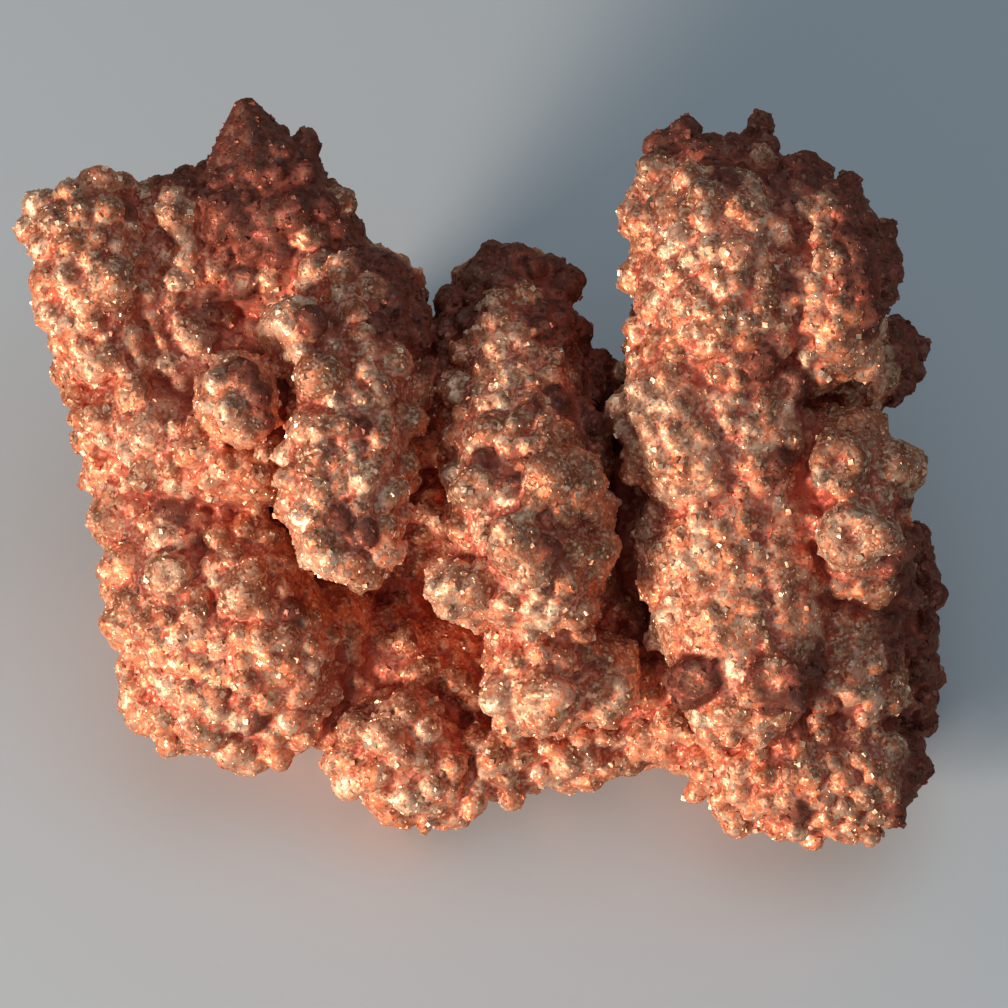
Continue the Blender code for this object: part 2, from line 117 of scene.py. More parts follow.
# The fine crystals strewn over it all: spiky sugar, and small cubes at any turn.
FLOOR_GAP = 0.25               # height over the floor below which none grow
SUGAR = {"Spacing": 0.34, "Density": 40.0, "Smallest": 0.05, "Largest": 0.11, "Lean": 0.25, "Sink": 0.02,
         "Floor": FLOOR_GAP, "Seed": SEED}
CUBES = {"Spacing": 0.75, "Density": 40.0, "Smallest": 0.08, "Largest": 0.2, "Lean": 3.14, "Sink": 0.05,
         "Floor": FLOOR_GAP, "Seed": SEED + 10}
SUGAR_LAYERS, CUBE_LAYERS = 3, 2
SUGAR_POINT, CUBE_SIDE = 0.6, 1.3   # height of a sugar point and side of a cube, for a size of 1
HOLLOW_LIMIT = 0.7             # share of a full seam's depth from which none grow

# Each finger is a chain of balls (u, v, w, radius) with a smooth taper between them.
FINGERS = {
    "left_head": [(-17.1, 10.3, 4.6, 2.5), (-17.0, 7.9, 5.0, 2.4), (-16.4, 5.7, 4.6, 1.7)],
    "left_neck": [(-16.5, 8.2, 4.0, 2.5), (-13.0, 6.6, 2.4, 2.8), (-9.6, 3.0, 0.5, 4.2)],
    "left_ledge": [(-14.8, 5.0, 4.2, 1.6), (-12.4, 4.6, 3.9, 1.8)],
    "left_ridge": [(-13.4, 11.0, 4.0, 1.7), (-12.5, 8.5, 3.2, 2.3)],
    "dark_shoulder": [(-11.0, 11.2, 4.0, 1.9), (-7.8, 11.3, 4.2, 1.9), (-8.0, 8.6, 3.1, 2.5),
                      (-10.6, 8.8, 2.7, 2.4)],
    "peak_root": [(-10.1, 12.4, 3.6, 2.1), (-8.7, 12.8, 3.6, 1.9)],
    "red_recess": [(-10.6, 7.0, 1.2, 2.8), (-10.0, 4.0, 1.4, 3.4)],
    "left_finger": [(-5.2, 7.4, 5.5, 2.7), (-5.6, 4.6, 7.6, 2.7), (-5.9, 1.2, 9.3, 2.7),
                    (-5.9, -2.0, 10.2, 2.3)],
    "finger_web": [(-6.4, 6.0, 3.4, 2.7), (-6.4, 2.4, 4.6, 3.1), (-6.6, -0.6, 2.6, 3.0)],
    "knuckle_dome": [(-8.0, 6.0, 8.2, 1.5), (-7.0, 4.2, 9.6, 1.3)],
    "bud_stalk": [(-10.6, 3.2, 8.0, 1.5), (-10.4, 2.2, 3.4, 2.8)],
    "left_flank": [(-15.4, 2.6, 4.4, 2.1), (-12.8, 1.0, 5.2, 2.4), (-9.8, 0.6, 6.4, 2.0)],
    "left_edge": [(-15.2, 0.4, 3.4, 1.9), (-14.6, -3.4, 3.0, 1.8)],
    "fist_left": [(-13.6, -2.8, 3.6, 2.5), (-12.8, -5.6, 4.2, 3.4), (-11.8, -8.6, 4.0, 3.2)],
    "fist_right": [(-10.4, -4.4, 5.0, 2.7), (-9.4, -7.0, 5.2, 3.1), (-9.0, -9.4, 3.8, 2.6)],
    "fist_heel": [(-6.8, -6.6, 3.2, 2.2), (-6.6, -8.4, 2.8, 1.9)],
    "middle_finger": [(1.2, 7.9, 3.0, 2.0), (1.5, 4.8, 5.2, 2.8), (1.6, 1.2, 7.8, 3.1),
                      (1.9, -2.0, 9.2, 3.4), (2.1, -4.0, 9.6, 2.9)],
    "middle_thumb": [(-1.0, 6.6, 3.4, 1.2), (-0.6, 3.6, 5.6, 1.7)],
    "middle_shoulder": [(4.5, 4.2, 2.8, 1.2), (4.0, 1.6, 4.4, 1.6)],
    "finger_join": [(-2.4, 4.4, 1.6, 1.3), (-2.4, 1.8, 2.0, 1.5)],
    "middle_root": [(1.4, 4.0, 2.4, 2.6), (2.0, -0.6, 3.4, 3.6), (2.8, -5.0, 3.0, 3.4)],
    "middle_nose": [(-0.9, -4.7, 9.6, 1.6), (0.8, -4.6, 8.0, 2.0)],
    "middle_toe": [(2.6, -6.4, 7.0, 2.2), (2.3, -9.0, 6.5, 2.3), (5.0, -8.6, 5.5, 1.9)],
    "saddle": [(-4.4, -5.6, -0.2, 2.4), (-2.6, -8.2, 0.0, 2.6), (-1.4, -9.8, 1.2, 2.6)],
    "bottom_head": [(-3.8, -11.6, 3.2, 2.7), (-2.6, -12.6, 3.0, 2.5)],
    "bottom_row": [(0.4, -12.2, 3.0, 1.6), (3.6, -11.7, 3.0, 1.6), (6.0, -11.1, 2.6, 1.5),
                   (8.4, -11.0, 3.2, 1.5)],
    "column_gap": [(6.2, -1.0, 0.6, 2.8), (6.2, -7.5, 1.5, 2.6)],
    "crown": [(10.2, 9.9, 7.9, 3.6), (10.4, 7.2, 8.1, 3.7)],
    "crown_brow": [(8.4, 12.7, 6.4, 1.3), (9.8, 12.9, 6.4, 1.5), (11.8, 13.2, 6.2, 1.3)],
    "crown_back": [(11.0, 7.4, 4.5, 4.0), (10.5, 2.0, 0.9, 4.8)],
    "crown_corner": [(13.2, 11.6, 8.0, 1.8), (15.4, 10.4, 8.2, 1.8), (15.4, 8.2, 8.6, 2.2),
                     (15.1, 6.0, 8.2, 1.9)],
    "crown_groove": [(13.2, 11.2, 7.9, 1.7), (13.3, 8.8, 8.8, 1.8), (13.4, 6.4, 8.6, 1.6)],
    "crown_chin": [(13.0, 4.7, 7.6, 1.7), (11.6, 4.8, 8.4, 1.8)],
    "side_knot": [(17.3, 5.3, 3.4, 1.5), (16.4, 3.9, 3.8, 1.4), (13.4, 3.4, 2.4, 2.6)],
    "neck": [(8.7, 5.0, 8.0, 2.3), (8.2, 2.6, 8.7, 2.4), (9.0, 0.6, 8.6, 2.4)],
    "neck_right": [(11.3, 3.8, 8.3, 2.2), (11.7, 1.2, 8.2, 2.3)],
    "neck_seam": [(10.2, 3.0, 8.5, 2.2), (10.2, 1.0, 8.3, 2.2), (10.3, 4.8, 8.5, 1.8)],
    "trunk_right": [(12.3, -1.5, 7.2, 2.4), (12.2, -4.5, 7.4, 2.4), (12.6, -7.2, 7.2, 2.4)],
    "trunk": [(11.6, 1.8, 5.2, 3.0), (10.6, -0.8, 6.6, 3.4), (10.1, -3.4, 6.9, 3.4),
              (10.8, -6.4, 6.9, 3.3), (11.4, -9.0, 7.0, 2.8)],
    "right_shoulder": [(15.6, 0.4, 6.8, 2.4), (16.0, -2.8, 6.8, 2.4), (16.4, -4.6, 5.2, 2.1)],
    "right_groove": [(13.4, 1.2, 6.8, 1.9), (13.4, -2.0, 7.2, 1.9), (13.6, -5.0, 6.5, 1.9),
                     (13.8, -7.6, 5.8, 1.9)],
    "waist_fill": [(14.0, -9.4, 5.3, 1.7), (14.2, -11.2, 5.2, 1.6)],
    "right_waist": [(15.4, -6.8, 4.8, 2.6), (15.8, -9.2, 4.4, 2.4)],
    "right_edge": [(18.6, -3.2, 2.0, 0.9), (18.8, -5.6, 1.6, 0.9), (18.8, -8.0, 1.6, 0.9),
                   (18.6, -10.2, 1.8, 1.0)],
    "edge_web": [(17.0, -3.4, 1.8, 1.6), (17.2, -9.8, 2.0, 1.6)],
    "right_foot": [(11.6, -12.4, 4.6, 2.3), (13.8, -13.0, 5.2, 2.6), (16.2, -13.0, 4.8, 2.3),
                   (18.0, -12.8, 3.6, 1.3)],
    "core": [(-11.0, -3.0, -0.5, 4.0), (-4.0, -3.0, -1.2, 4.4), (4.0, -3.0, -1.2, 4.4),
             (11.5, -3.0, 0.5, 4.8)],
    "keel": [(-9.0, -8.0, 0.8, 3.5), (0.0, -9.0, 1.0, 3.0), (9.0, -9.0, 1.5, 3.5),
             (14.0, -10.0, 2.4, 3.1)],
    "rear_left": [(-7.5, 2.3, -5.3, 3.3), (-6.0, -1.0, -2.0, 4.0)],
    "rear_right": [(8.6, 1.8, -5.2, 3.4), (8.0, -1.0, -1.6, 4.2)],
    "rear_bridge": [(-2.0, -1.0, -3.0, 3.2), (3.0, -0.6, -3.0, 3.2)],
}

# The pointed crystal on the dark shoulder: base centre, tip and base radius.
PEAK_BASE = (-9.9, 13.4, 3.4)
PEAK_TIP = (-10.4, 16.4, 3.7)
PEAK_RADIUS = 2.75
PEAK_TIP_RADIUS = 0.4
PEAK_SIDES = 6
PEAK_ROOT = (2.4, 1.5)         # depth below the base, and radius there, to which it tapers into the body

# Buds of the broad face by area, as (u, v, radius) and a look where it isn't plain; BUD_LOOKS tells the
# looks apart.
FACE_BUDS = {
    "left_head": [
        (-16.6, 12.6, 0.85), (-17.9, 12.2, 0.7), (-18.9, 11.8, 0.65, "b"), (-15.7, 12.6, 0.65),
        (-19.3, 10.7, 0.75), (-19.0, 9.9, 0.8), (-18.5, 11.0, 0.8, "g"), (-17.4, 11.3, 0.8, "g"),
        (-16.3, 11.4, 0.8), (-15.5, 11.3, 0.6, "d"), (-17.8, 10.1, 0.9, "o"), (-16.7, 10.2, 0.8, "o"),
        (-15.9, 9.9, 0.6, "k"), (-17.0, 9.4, 0.7, "o"), (-18.9, 8.4, 0.9), (-18.0, 8.6, 0.8),
        (-16.0, 8.4, 1.25, "g"), (-14.7, 8.0, 0.6, "b"), (-17.2, 7.6, 0.8), (-19.0, 7.4, 0.6),
        (-18.6, 6.9, 0.8), (-17.9, 6.6, 0.8), (-17.0, 6.7, 0.7), (-18.2, 5.8, 0.7), (-17.4, 5.5, 0.6),
        (-16.6, 5.0, 1.25, "p"), (-15.4, 5.9, 0.7, "k"), (-16.4, 6.0, 0.4, "b"), (-14.8, 4.9, 0.8, "p"),
    ],
    "left_ridge": [
        (-13.6, 12.5, 0.65, "d"), (-14.6, 12.2, 0.6, "g"), (-12.8, 12.4, 0.55, "d"), (-13.5, 11.9, 0.6, "p"),
        (-13.3, 11.3, 0.95, "p"), (-13.1, 10.7, 0.7, "p"), (-14.6, 11.3, 0.6), (-14.4, 10.4, 0.7),
        (-15.1, 10.6, 0.5), (-15.0, 9.6, 0.6, "k"), (-13.9, 9.5, 0.7), (-12.9, 9.6, 0.7),
        (-14.4, 8.9, 0.5, "p"), (-13.2, 8.5, 0.7, "p"), (-12.6, 8.9, 0.5),
    ],
    "dark_shoulder": [
        (-9.9, 9.9, 0.8, "d"), (-8.8, 9.6, 0.8, "d"), (-7.8, 9.3, 0.7, "d"), (-6.8, 9.4, 0.6, "d"),
        (-9.2, 10.6, 0.7, "d"), (-11.0, 9.7, 0.7, "d"), (-11.5, 12.7, 0.6, "d"), (-12.1, 11.9, 0.6, "d"),
        (-11.2, 11.5, 0.9, "d"), (-10.6, 10.8, 0.7, "d"), (-11.6, 10.6, 0.6, "d"), (-10.3, 11.9, 0.6, "d"),
        (-9.3, 11.3, 0.7, "d"), (-8.2, 11.4, 1.1, "d"), (-7.6, 10.4, 0.7, "k"), (-6.9, 11.6, 0.7, "d"),
        (-6.2, 11.8, 0.75, "g"), (-6.0, 12.1, 0.5, "d"), (-6.3, 10.7, 0.8, "d"), (-6.0, 11.1, 0.6, "d"),
        (-7.0, 10.2, 0.5, "d"), (-5.9, 10.2, 0.4, "d"), (-9.6, 9.7, 0.45, "p"), (-7.7, 14.3, 0.7, "d"),
        (-8.8, 14.0, 0.6, "d"), (-9.0, 13.2, 0.5, "d"), (-7.6, 13.2, 0.6, "d"),
    ],
    "red_recess": [
        (-10.4, 8.4, 0.85, "rd"), (-11.6, 8.9, 0.5, "o"), (-9.2, 8.6, 0.6, "k"), (-9.3, 9.3, 0.4, "o"),
        (-13.0, 8.6, 0.6), (-13.6, 7.6, 0.5, "r"), (-11.1, 6.9, 0.5, "o"), (-10.0, 6.3, 0.6, "o"),
        (-13.1, 6.6, 0.6, "p"), (-12.8, 6.1, 0.9, "p"), (-12.5, 5.7, 0.7, "p"), (-12.0, 7.0, 0.6, "d"),
        (-11.9, 6.0, 0.5, "p"), (-13.7, 4.8, 0.5, "b"), (-14.8, 5.6, 0.5), (-13.9, 5.7, 0.4),
        (-14.3, 6.3, 0.4, "o"), (-13.1, 3.9, 0.5, "b"),
    ],
    "left_flank": [
        (-15.2, 3.6, 0.95, "k"), (-17.5, 3.4, 0.65, "o"), (-16.7, 2.5, 0.8, "k"), (-17.3, 2.6, 0.6, "o"),
        (-16.3, 1.5, 0.5, "b"), (-17.0, 1.4, 0.6, "o"), (-14.5, 1.8, 1.0, "p"), (-15.4, 1.1, 0.6, "b"),
        (-12.3, 1.9, 0.7), (-12.6, 1.0, 0.7), (-12.1, 1.2, 0.7), (-16.6, 0.3, 0.8), (-15.9, 0.5, 0.5),
        (-14.5, 0.2, 0.7, "g"), (-13.5, 0.3, 0.5, "o"), (-15.4, -0.3, 0.5), (-13.4, -0.4, 0.45, "b"),
        (-14.8, -1.0, 0.5), (-11.0, 0.5, 0.9), (-10.4, 0.8, 0.6, "p"), (-9.8, 0.0, 0.8, "o"),
        (-11.8, -0.1, 0.6), (-9.3, 0.9, 0.6, "p"), (-10.6, 3.2, 1.95), (-10.3, 4.4, 0.8, "d"),
        (-11.5, 4.1, 0.6, "b"), (-11.8, 3.0, 0.6, "p"), (-10.9, 2.7, 0.7, "b"), (-9.7, 3.4, 0.7, "d"),
        (-10.2, 2.0, 0.8), (-9.4, 2.3, 0.6, "d"),
    ],
    "left_finger": [
        (-7.2, 8.7, 0.95, "p"), (-6.9, 9.2, 0.4, "b"), (-6.0, 8.9, 0.8), (-5.3, 9.0, 0.8, "d"),
        (-4.5, 8.7, 0.7, "d"), (-4.0, 8.9, 0.5, "d"), (-5.0, 8.0, 0.8), (-6.1, 7.9, 0.6),
        (-3.8, 8.0, 0.7, "d"), (-3.3, 8.1, 0.45, "d"), (-3.9, 7.2, 0.7, "d"), (-3.0, 6.8, 0.85, "d"),
        (-2.7, 5.9, 0.6, "d"), (-5.5, 7.0, 0.7), (-4.6, 6.4, 0.7, "d"), (-5.3, 5.9, 0.6),
        (-3.7, 6.0, 0.6, "d"), (-8.0, 6.3, 1.5, "p"), (-7.4, 6.6, 0.9, "d"), (-7.9, 5.3, 0.6, "b"),
        (-6.4, 5.5, 0.5), (-6.6, 6.3, 0.6, "d"), (-7.0, 4.3, 1.2, "g"), (-4.9, 5.2, 0.6), (-5.1, 4.5, 0.6),
        (-3.8, 4.8, 0.9), (-2.7, 4.5, 0.8, "o"), (-3.0, 3.7, 0.8, "o"), (-4.4, 3.5, 0.9, "g"),
        (-5.1, 3.2, 0.5, "b"), (-6.3, 3.2, 0.55, "b"), (-5.7, 3.8, 0.4), (-4.3, 2.3, 0.5, "p"),
        (-4.4, 1.6, 0.7), (-3.4, 2.5, 0.8, "o"), (-3.2, 1.4, 0.6, "o"), (-3.4, 0.4, 0.7, "o"),
        (-6.9, 1.9, 0.9, "p"), (-7.6, 2.0, 0.7, "p"), (-6.1, 2.1, 0.6, "g"), (-5.3, 2.0, 0.5, "d"),
        (-5.6, 1.0, 0.4, "b"), (-8.5, 0.9, 0.6, "b"), (-7.1, 0.6, 1.0, "g"), (-6.2, 0.4, 0.45),
        (-8.1, -0.2, 0.7, "r"), (-7.0, -0.8, 0.9, "k"), (-6.2, -0.4, 0.6), (-5.1, -0.1, 0.85, "b"),
        (-4.7, 0.5, 0.6), (-4.2, -1.0, 0.6, "b"), (-3.8, -0.6, 0.7), (-5.3, -1.4, 0.6), (-8.3, -1.0, 0.6),
        (-3.6, -1.6, 0.6), (-7.2, -1.9, 0.8), (-6.2, -2.0, 0.8, "d"), (-5.1, -2.4, 0.7, "d"),
        (-6.7, -3.2, 1.15, "p"), (-5.9, -3.9, 0.8), (-5.1, -4.1, 0.9, "g"), (-4.4, -3.2, 0.8),
        (-4.3, -2.3, 0.8), (-7.2, -2.8, 0.6),
    ],
    "fist": [
        (-16.2, -0.6, 0.6), (-15.9, -1.6, 0.95, "r"), (-15.0, -1.4, 0.6), (-13.3, -1.7, 1.05, "gd"),
        (-12.4, -1.9, 0.6, "g"), (-14.3, -2.0, 0.6), (-13.8, -2.7, 0.8, "p"), (-13.0, -2.9, 0.6, "p"),
        (-13.6, -4.3, 1.15, "rp"), (-15.5, -3.9, 0.95), (-15.9, -5.2, 0.6), (-15.3, -5.6, 0.8, "g"),
        (-15.5, -6.6, 0.8), (-14.4, -6.6, 0.8, "g"), (-13.7, -6.1, 0.6, "o"), (-11.7, -2.0, 0.6),
        (-10.9, -1.9, 0.5, "b"), (-10.3, -2.4, 0.8, "o"), (-9.3, -2.7, 0.7, "o"), (-11.4, -2.7, 0.7, "o"),
        (-10.9, -3.6, 0.75, "g"), (-11.6, -3.9, 0.6), (-11.4, -4.5, 0.6, "b"), (-9.9, -4.1, 0.7, "o"),
        (-9.1, -4.0, 0.6, "b"), (-10.3, -5.0, 1.2, "g"), (-8.7, -4.9, 0.7, "o"), (-9.4, -5.9, 0.6),
        (-8.4, -5.9, 0.7, "d"), (-12.3, -5.2, 0.6, "o"), (-12.4, -6.0, 0.8, "g"), (-13.2, -6.9, 0.7),
        (-12.2, -7.0, 0.7), (-11.5, -6.6, 0.5, "p"), (-11.3, -7.4, 0.7), (-10.5, -6.9, 0.6),
        (-9.5, -7.0, 0.8), (-8.6, -7.0, 0.7, "g"), (-10.3, -7.9, 0.6), (-9.2, -7.9, 0.6), (-14.9, -7.6, 0.7),
        (-14.0, -7.5, 0.8), (-13.0, -8.0, 0.7), (-12.2, -8.2, 0.7), (-11.3, -8.5, 0.8, "g"),
        (-10.3, -8.8, 0.8), (-14.2, -8.6, 0.6), (-13.6, -9.1, 0.6, "b"), (-12.8, -9.2, 0.6),
        (-12.3, -9.6, 0.6), (-11.6, -9.3, 0.7), (-10.5, -9.6, 0.6), (-11.5, -10.2, 0.6, "b"),
        (-10.7, -10.4, 0.65, "b"), (-9.9, -10.3, 0.7, "d"), (-9.3, -9.7, 0.6), (-15.3, -8.3, 0.7),
        (-15.0, -9.2, 0.7), (-14.9, -10.2, 0.7), (-14.9, -10.8, 0.5), (-13.9, -10.5, 0.9),
        (-13.6, -11.4, 0.7), (-12.6, -10.9, 0.8), (-11.8, -11.3, 0.7), (-10.7, -11.7, 0.8),
        (-10.0, -12.3, 0.75), (-9.0, -11.9, 0.8), (-9.1, -11.3, 0.6), (-8.4, -10.6, 0.7), (-7.8, -11.2, 0.7),
        (-7.4, -10.5, 0.5), (-8.4, -8.1, 0.5), (-7.6, -8.9, 0.6, "g"), (-8.0, -9.5, 0.55),
        (-7.5, -7.3, 0.5, "k"), (-6.6, -6.9, 0.55, "k"), (-5.6, -6.9, 0.5, "k"), (-7.4, -6.2, 0.5, "o"),
        (-6.4, -5.9, 0.5, "o"), (-5.7, -7.7, 0.5, "k"), (-6.4, -8.3, 0.6, "k"), (-7.3, -8.2, 0.4, "b"),
        (-5.4, -8.9, 0.5, "k"), (-5.6, -9.5, 0.55), (-6.6, -9.5, 0.6), (-7.0, -10.0, 0.5),
    ],
    "middle_finger": [
        (0.4, 9.2, 0.9, "d"), (1.4, 9.3, 0.9, "d"), (0.0, 8.5, 0.8, "d"), (0.9, 8.3, 0.8, "d"),
        (2.1, 8.9, 0.7, "d"), (2.9, 8.6, 0.7, "d"), (3.5, 8.0, 0.8, "d"), (1.9, 7.7, 0.7, "g"),
        (0.6, 7.5, 0.6, "g"), (-0.4, 7.7, 0.5, "d"), (2.6, 7.2, 0.6, "d"), (-1.4, 7.4, 0.75, "d"),
        (-1.5, 6.4, 0.7, "d"), (-0.7, 6.7, 0.6, "d"), (-1.6, 5.4, 0.6, "d"), (-0.7, 5.3, 0.55),
        (0.6, 6.6, 0.7), (-0.2, 5.9, 0.6), (0.6, 5.4, 0.6, "p"), (1.5, 6.0, 0.7), (2.6, 6.2, 0.7, "d"),
        (3.3, 6.7, 0.7, "d"), (3.4, 5.8, 0.6, "d"), (4.1, 6.5, 0.5, "d"), (4.2, 5.6, 0.5, "d"),
        (3.0, 5.0, 0.6, "g"), (2.1, 5.2, 0.6), (-0.1, 4.7, 0.4, "k"), (4.9, 4.5, 0.9, "d"),
        (4.6, 3.6, 0.7, "d"), (5.3, 3.6, 0.7, "d"), (5.4, 4.6, 0.6, "d"), (4.3, 2.9, 0.6, "d"),
        (4.6, 2.2, 0.7, "d"), (4.9, 1.4, 0.6, "o"), (-1.0, 3.7, 0.85, "p"), (1.3, 4.0, 0.85, "p"),
        (0.9, 3.2, 0.6, "b"), (2.1, 4.0, 0.6), (2.9, 4.1, 0.7), (0.2, 3.1, 0.5, "p"), (2.2, 3.1, 0.6),
        (3.1, 3.2, 0.7, "d"), (-1.5, 2.7, 0.6, "o"), (-0.9, 2.5, 0.5, "o"), (-1.2, 1.7, 0.6, "o"),
        (0.3, 1.9, 0.85, "g"), (-0.3, 1.2, 0.6, "p"), (1.5, 2.2, 0.6, "g"), (1.1, 1.4, 0.6),
        (2.1, 2.7, 0.6, "d"), (2.7, 2.3, 0.6), (2.6, 1.5, 0.6, "o"), (3.4, 1.7, 0.6, "o"), (1.9, 1.2, 0.5),
        (3.0, 1.0, 0.4, "o"), (-0.3, -0.6, 1.1, "rg"), (0.0, 0.5, 0.7, "d"), (-1.3, 0.0, 0.6, "b"),
        (1.0, -0.9, 0.5, "b"), (1.4, -0.4, 0.5, "d"), (3.0, -0.3, 1.3, "o"), (3.9, -0.6, 1.3, "o"),
        (4.4, 0.4, 0.7, "o"), (2.4, 0.3, 0.6, "o"), (4.6, -1.6, 0.9, "o"), (3.4, -1.7, 0.7, "o"),
        (2.2, -1.2, 0.6, "o"), (1.8, -1.8, 0.45, "b"), (1.5, -3.1, 1.45, "g"), (2.2, -4.1, 0.9, "g"),
        (0.9, -2.3, 0.6, "p"), (2.7, -3.2, 0.7, "d"), (4.0, -3.3, 0.8, "o"), (4.8, -3.4, 1.0, "o"),
        (5.0, -2.4, 0.7, "o"), (0.2, -2.4, 0.5, "p"), (2.3, -5.0, 0.6, "p"), (1.5, -4.6, 0.5, "p"),
        (3.6, -4.6, 0.6, "o"), (-1.2, -4.9, 1.35, "p"), (-2.1, -4.9, 0.5, "b"), (-0.4, -4.9, 0.9, "g"),
        (-1.5, -5.7, 0.6, "p"), (-0.5, -6.0, 0.6, "p"), (0.3, -5.6, 0.7), (1.0, -5.4, 0.7),
        (0.3, -4.4, 0.6, "o"), (0.8, -6.1, 0.6), (-1.8, -2.0, 0.8, "k"), (-1.0, -2.3, 0.6, "o"),
        (-1.2, -3.1, 0.6, "o"), (-2.4, -1.6, 0.6, "o"), (-2.6, -2.6, 0.5, "o"), (-2.5, -3.7, 0.5, "o"),
        (-2.2, -0.9, 0.6, "o"), (2.1, -5.7, 0.5, "b"), (3.2, -5.5, 0.6, "p"), (3.6, -6.1, 0.5),
        (2.7, -6.3, 0.45, "b"), (2.1, -6.8, 0.45, "p"), (4.3, -5.7, 0.7, "o"), (4.2, -6.8, 0.6, "o"),
    ],
    "bottom": [
        (2.2, -9.4, 1.35, "p"), (0.9, -9.4, 0.8, "b"), (1.4, -8.1, 0.7), (2.4, -7.6, 0.7), (3.4, -8.0, 0.7),
        (3.2, -9.4, 0.8), (3.2, -10.1, 0.7, "g"), (1.2, -10.3, 0.6), (2.2, -10.6, 0.5), (3.9, -9.6, 0.5),
        (5.6, -9.4, 1.15, "rp"), (4.8, -9.2, 0.6), (4.6, -10.2, 0.5), (6.2, -8.4, 0.7, "o"),
        (5.2, -7.9, 0.7, "o"), (4.4, -7.6, 0.6, "o"), (5.4, -10.4, 0.5), (6.1, -7.6, 0.5, "o"),
        (5.4, -6.5, 0.6, "o"), (5.9, -5.7, 0.7, "o"), (6.3, -7.2, 0.5, "o"), (6.6, -6.5, 0.5, "o"),
        (6.9, -8.6, 0.6, "o"), (7.2, -9.5, 0.7, "o"), (-3.3, -7.2, 0.7, "o"), (-2.6, -8.6, 0.9, "o"),
        (-1.2, -8.9, 0.9, "o"), (-0.4, -9.6, 0.8, "o"), (-4.5, -7.1, 0.5, "o"), (-3.4, -5.4, 0.8, "o"),
        (-4.2, -6.2, 0.6, "o"), (-5.5, -11.0, 0.9, "g"), (-4.3, -11.2, 1.05, "p"), (-3.4, -10.2, 0.9, "k"),
        (-2.4, -10.0, 0.6, "k"), (-2.4, -11.0, 0.7, "b"), (-5.9, -12.3, 0.8), (-5.5, -13.2, 0.75, "p"),
        (-4.7, -12.9, 0.7), (-3.5, -12.1, 0.7), (-2.7, -12.2, 0.6, "g"), (-4.3, -13.9, 0.8),
        (-3.2, -13.8, 0.9, "b"), (-3.7, -14.7, 0.65), (-2.5, -15.3, 0.3), (-1.2, -14.8, 0.6),
        (-0.4, -14.2, 0.7), (-2.2, -13.4, 0.7), (-1.3, -12.6, 0.7), (-6.2, -11.3, 0.6), (-1.4, -13.5, 0.5),
        (-0.3, -11.5, 0.8, "o"), (0.4, -12.3, 0.9), (-0.2, -13.3, 0.6, "b"), (1.0, -13.0, 0.6, "g"),
        (0.6, -11.5, 0.6, "o"), (1.3, -13.8, 0.5), (1.3, -11.3, 0.7, "o"), (1.6, -12.3, 0.5, "o"),
        (3.0, -11.8, 0.7), (3.7, -12.4, 0.8, "p"), (4.5, -12.2, 0.7), (4.2, -11.4, 0.6), (2.6, -12.9, 0.6),
        (3.2, -13.1, 0.4, "b"), (4.6, -13.0, 0.4), (5.3, -12.6, 0.5), (5.9, -12.4, 0.6, "g"),
        (5.9, -11.5, 0.45), (5.2, -11.3, 0.5), (6.7, -11.9, 0.5), (6.9, -11.3, 0.6), (7.2, -12.0, 0.4),
        (8.2, -10.8, 0.85), (9.0, -11.2, 0.7), (7.9, -11.9, 0.6), (9.4, -12.1, 0.5), (9.8, -11.2, 0.6),
    ],
    "crown": [
        (7.8, 14.3, 0.75, "d"), (8.6, 14.4, 0.75, "d"), (9.3, 14.0, 0.7, "d"), (9.9, 13.9, 0.55, "d"),
        (10.5, 14.0, 0.5, "d"), (12.1, 15.1, 0.55, "d"), (11.6, 14.5, 0.6, "d"), (12.4, 14.3, 0.6, "d"),
        (11.2, 14.1, 0.45, "d"), (12.0, 13.9, 0.5, "k"), (13.5, 13.1, 0.8, "d"), (14.2, 12.9, 0.6, "d"),
        (13.9, 12.3, 0.6, "d"), (15.7, 12.4, 0.65, "d"), (15.0, 12.2, 0.6, "d"), (16.0, 11.7, 0.6, "d"),
        (14.7, 11.6, 0.6, "k"), (15.6, 11.2, 0.7, "d"), (16.4, 10.8, 0.6, "d"), (17.3, 10.5, 0.75, "d"),
        (17.5, 9.6, 0.7, "d"), (17.3, 8.7, 0.7, "d"), (17.3, 7.8, 0.6, "d"), (7.3, 13.3, 0.7, "g"),
        (6.9, 12.7, 0.45), (6.8, 12.1, 0.5, "k"), (7.4, 12.2, 0.5, "k"), (6.6, 11.0, 0.65), (7.1, 11.0, 0.5),
        (7.0, 10.0, 0.5, "o"), (6.7, 9.3, 0.45, "o"), (6.7, 8.4, 0.5), (7.0, 7.8, 0.5), (7.5, 7.6, 0.4, "b"),
        (7.2, 7.1, 0.5), (8.9, 12.7, 0.8), (9.5, 11.9, 0.8, "g"), (8.5, 11.2, 0.6, "o"), (9.6, 11.0, 0.6),
        (10.4, 12.6, 0.6, "d"), (11.6, 12.4, 0.55, "g"), (12.8, 12.5, 0.6, "d"), (11.0, 11.5, 0.6),
        (11.6, 10.8, 0.6), (12.0, 11.6, 0.5, "k"), (13.2, 11.6, 0.6, "rd"), (13.9, 11.4, 0.5, "k"),
        (12.6, 10.4, 0.7), (11.8, 10.0, 0.6), (13.3, 10.0, 0.6, "d"), (10.9, 9.5, 0.9, "k"),
        (9.8, 9.8, 0.6, "p"), (8.5, 10.3, 0.75, "p"), (8.0, 9.7, 0.5), (9.0, 9.4, 0.5, "p"), (9.9, 8.7, 0.5),
        (10.3, 8.1, 0.5, "p"), (10.9, 8.3, 0.6), (12.0, 8.6, 0.7, "g"), (12.0, 9.3, 0.5),
        (13.0, 8.2, 0.55, "d"), (12.9, 9.2, 0.5, "g"), (8.3, 8.7, 0.6), (7.9, 8.3, 0.5), (9.0, 8.0, 0.5, "g"),
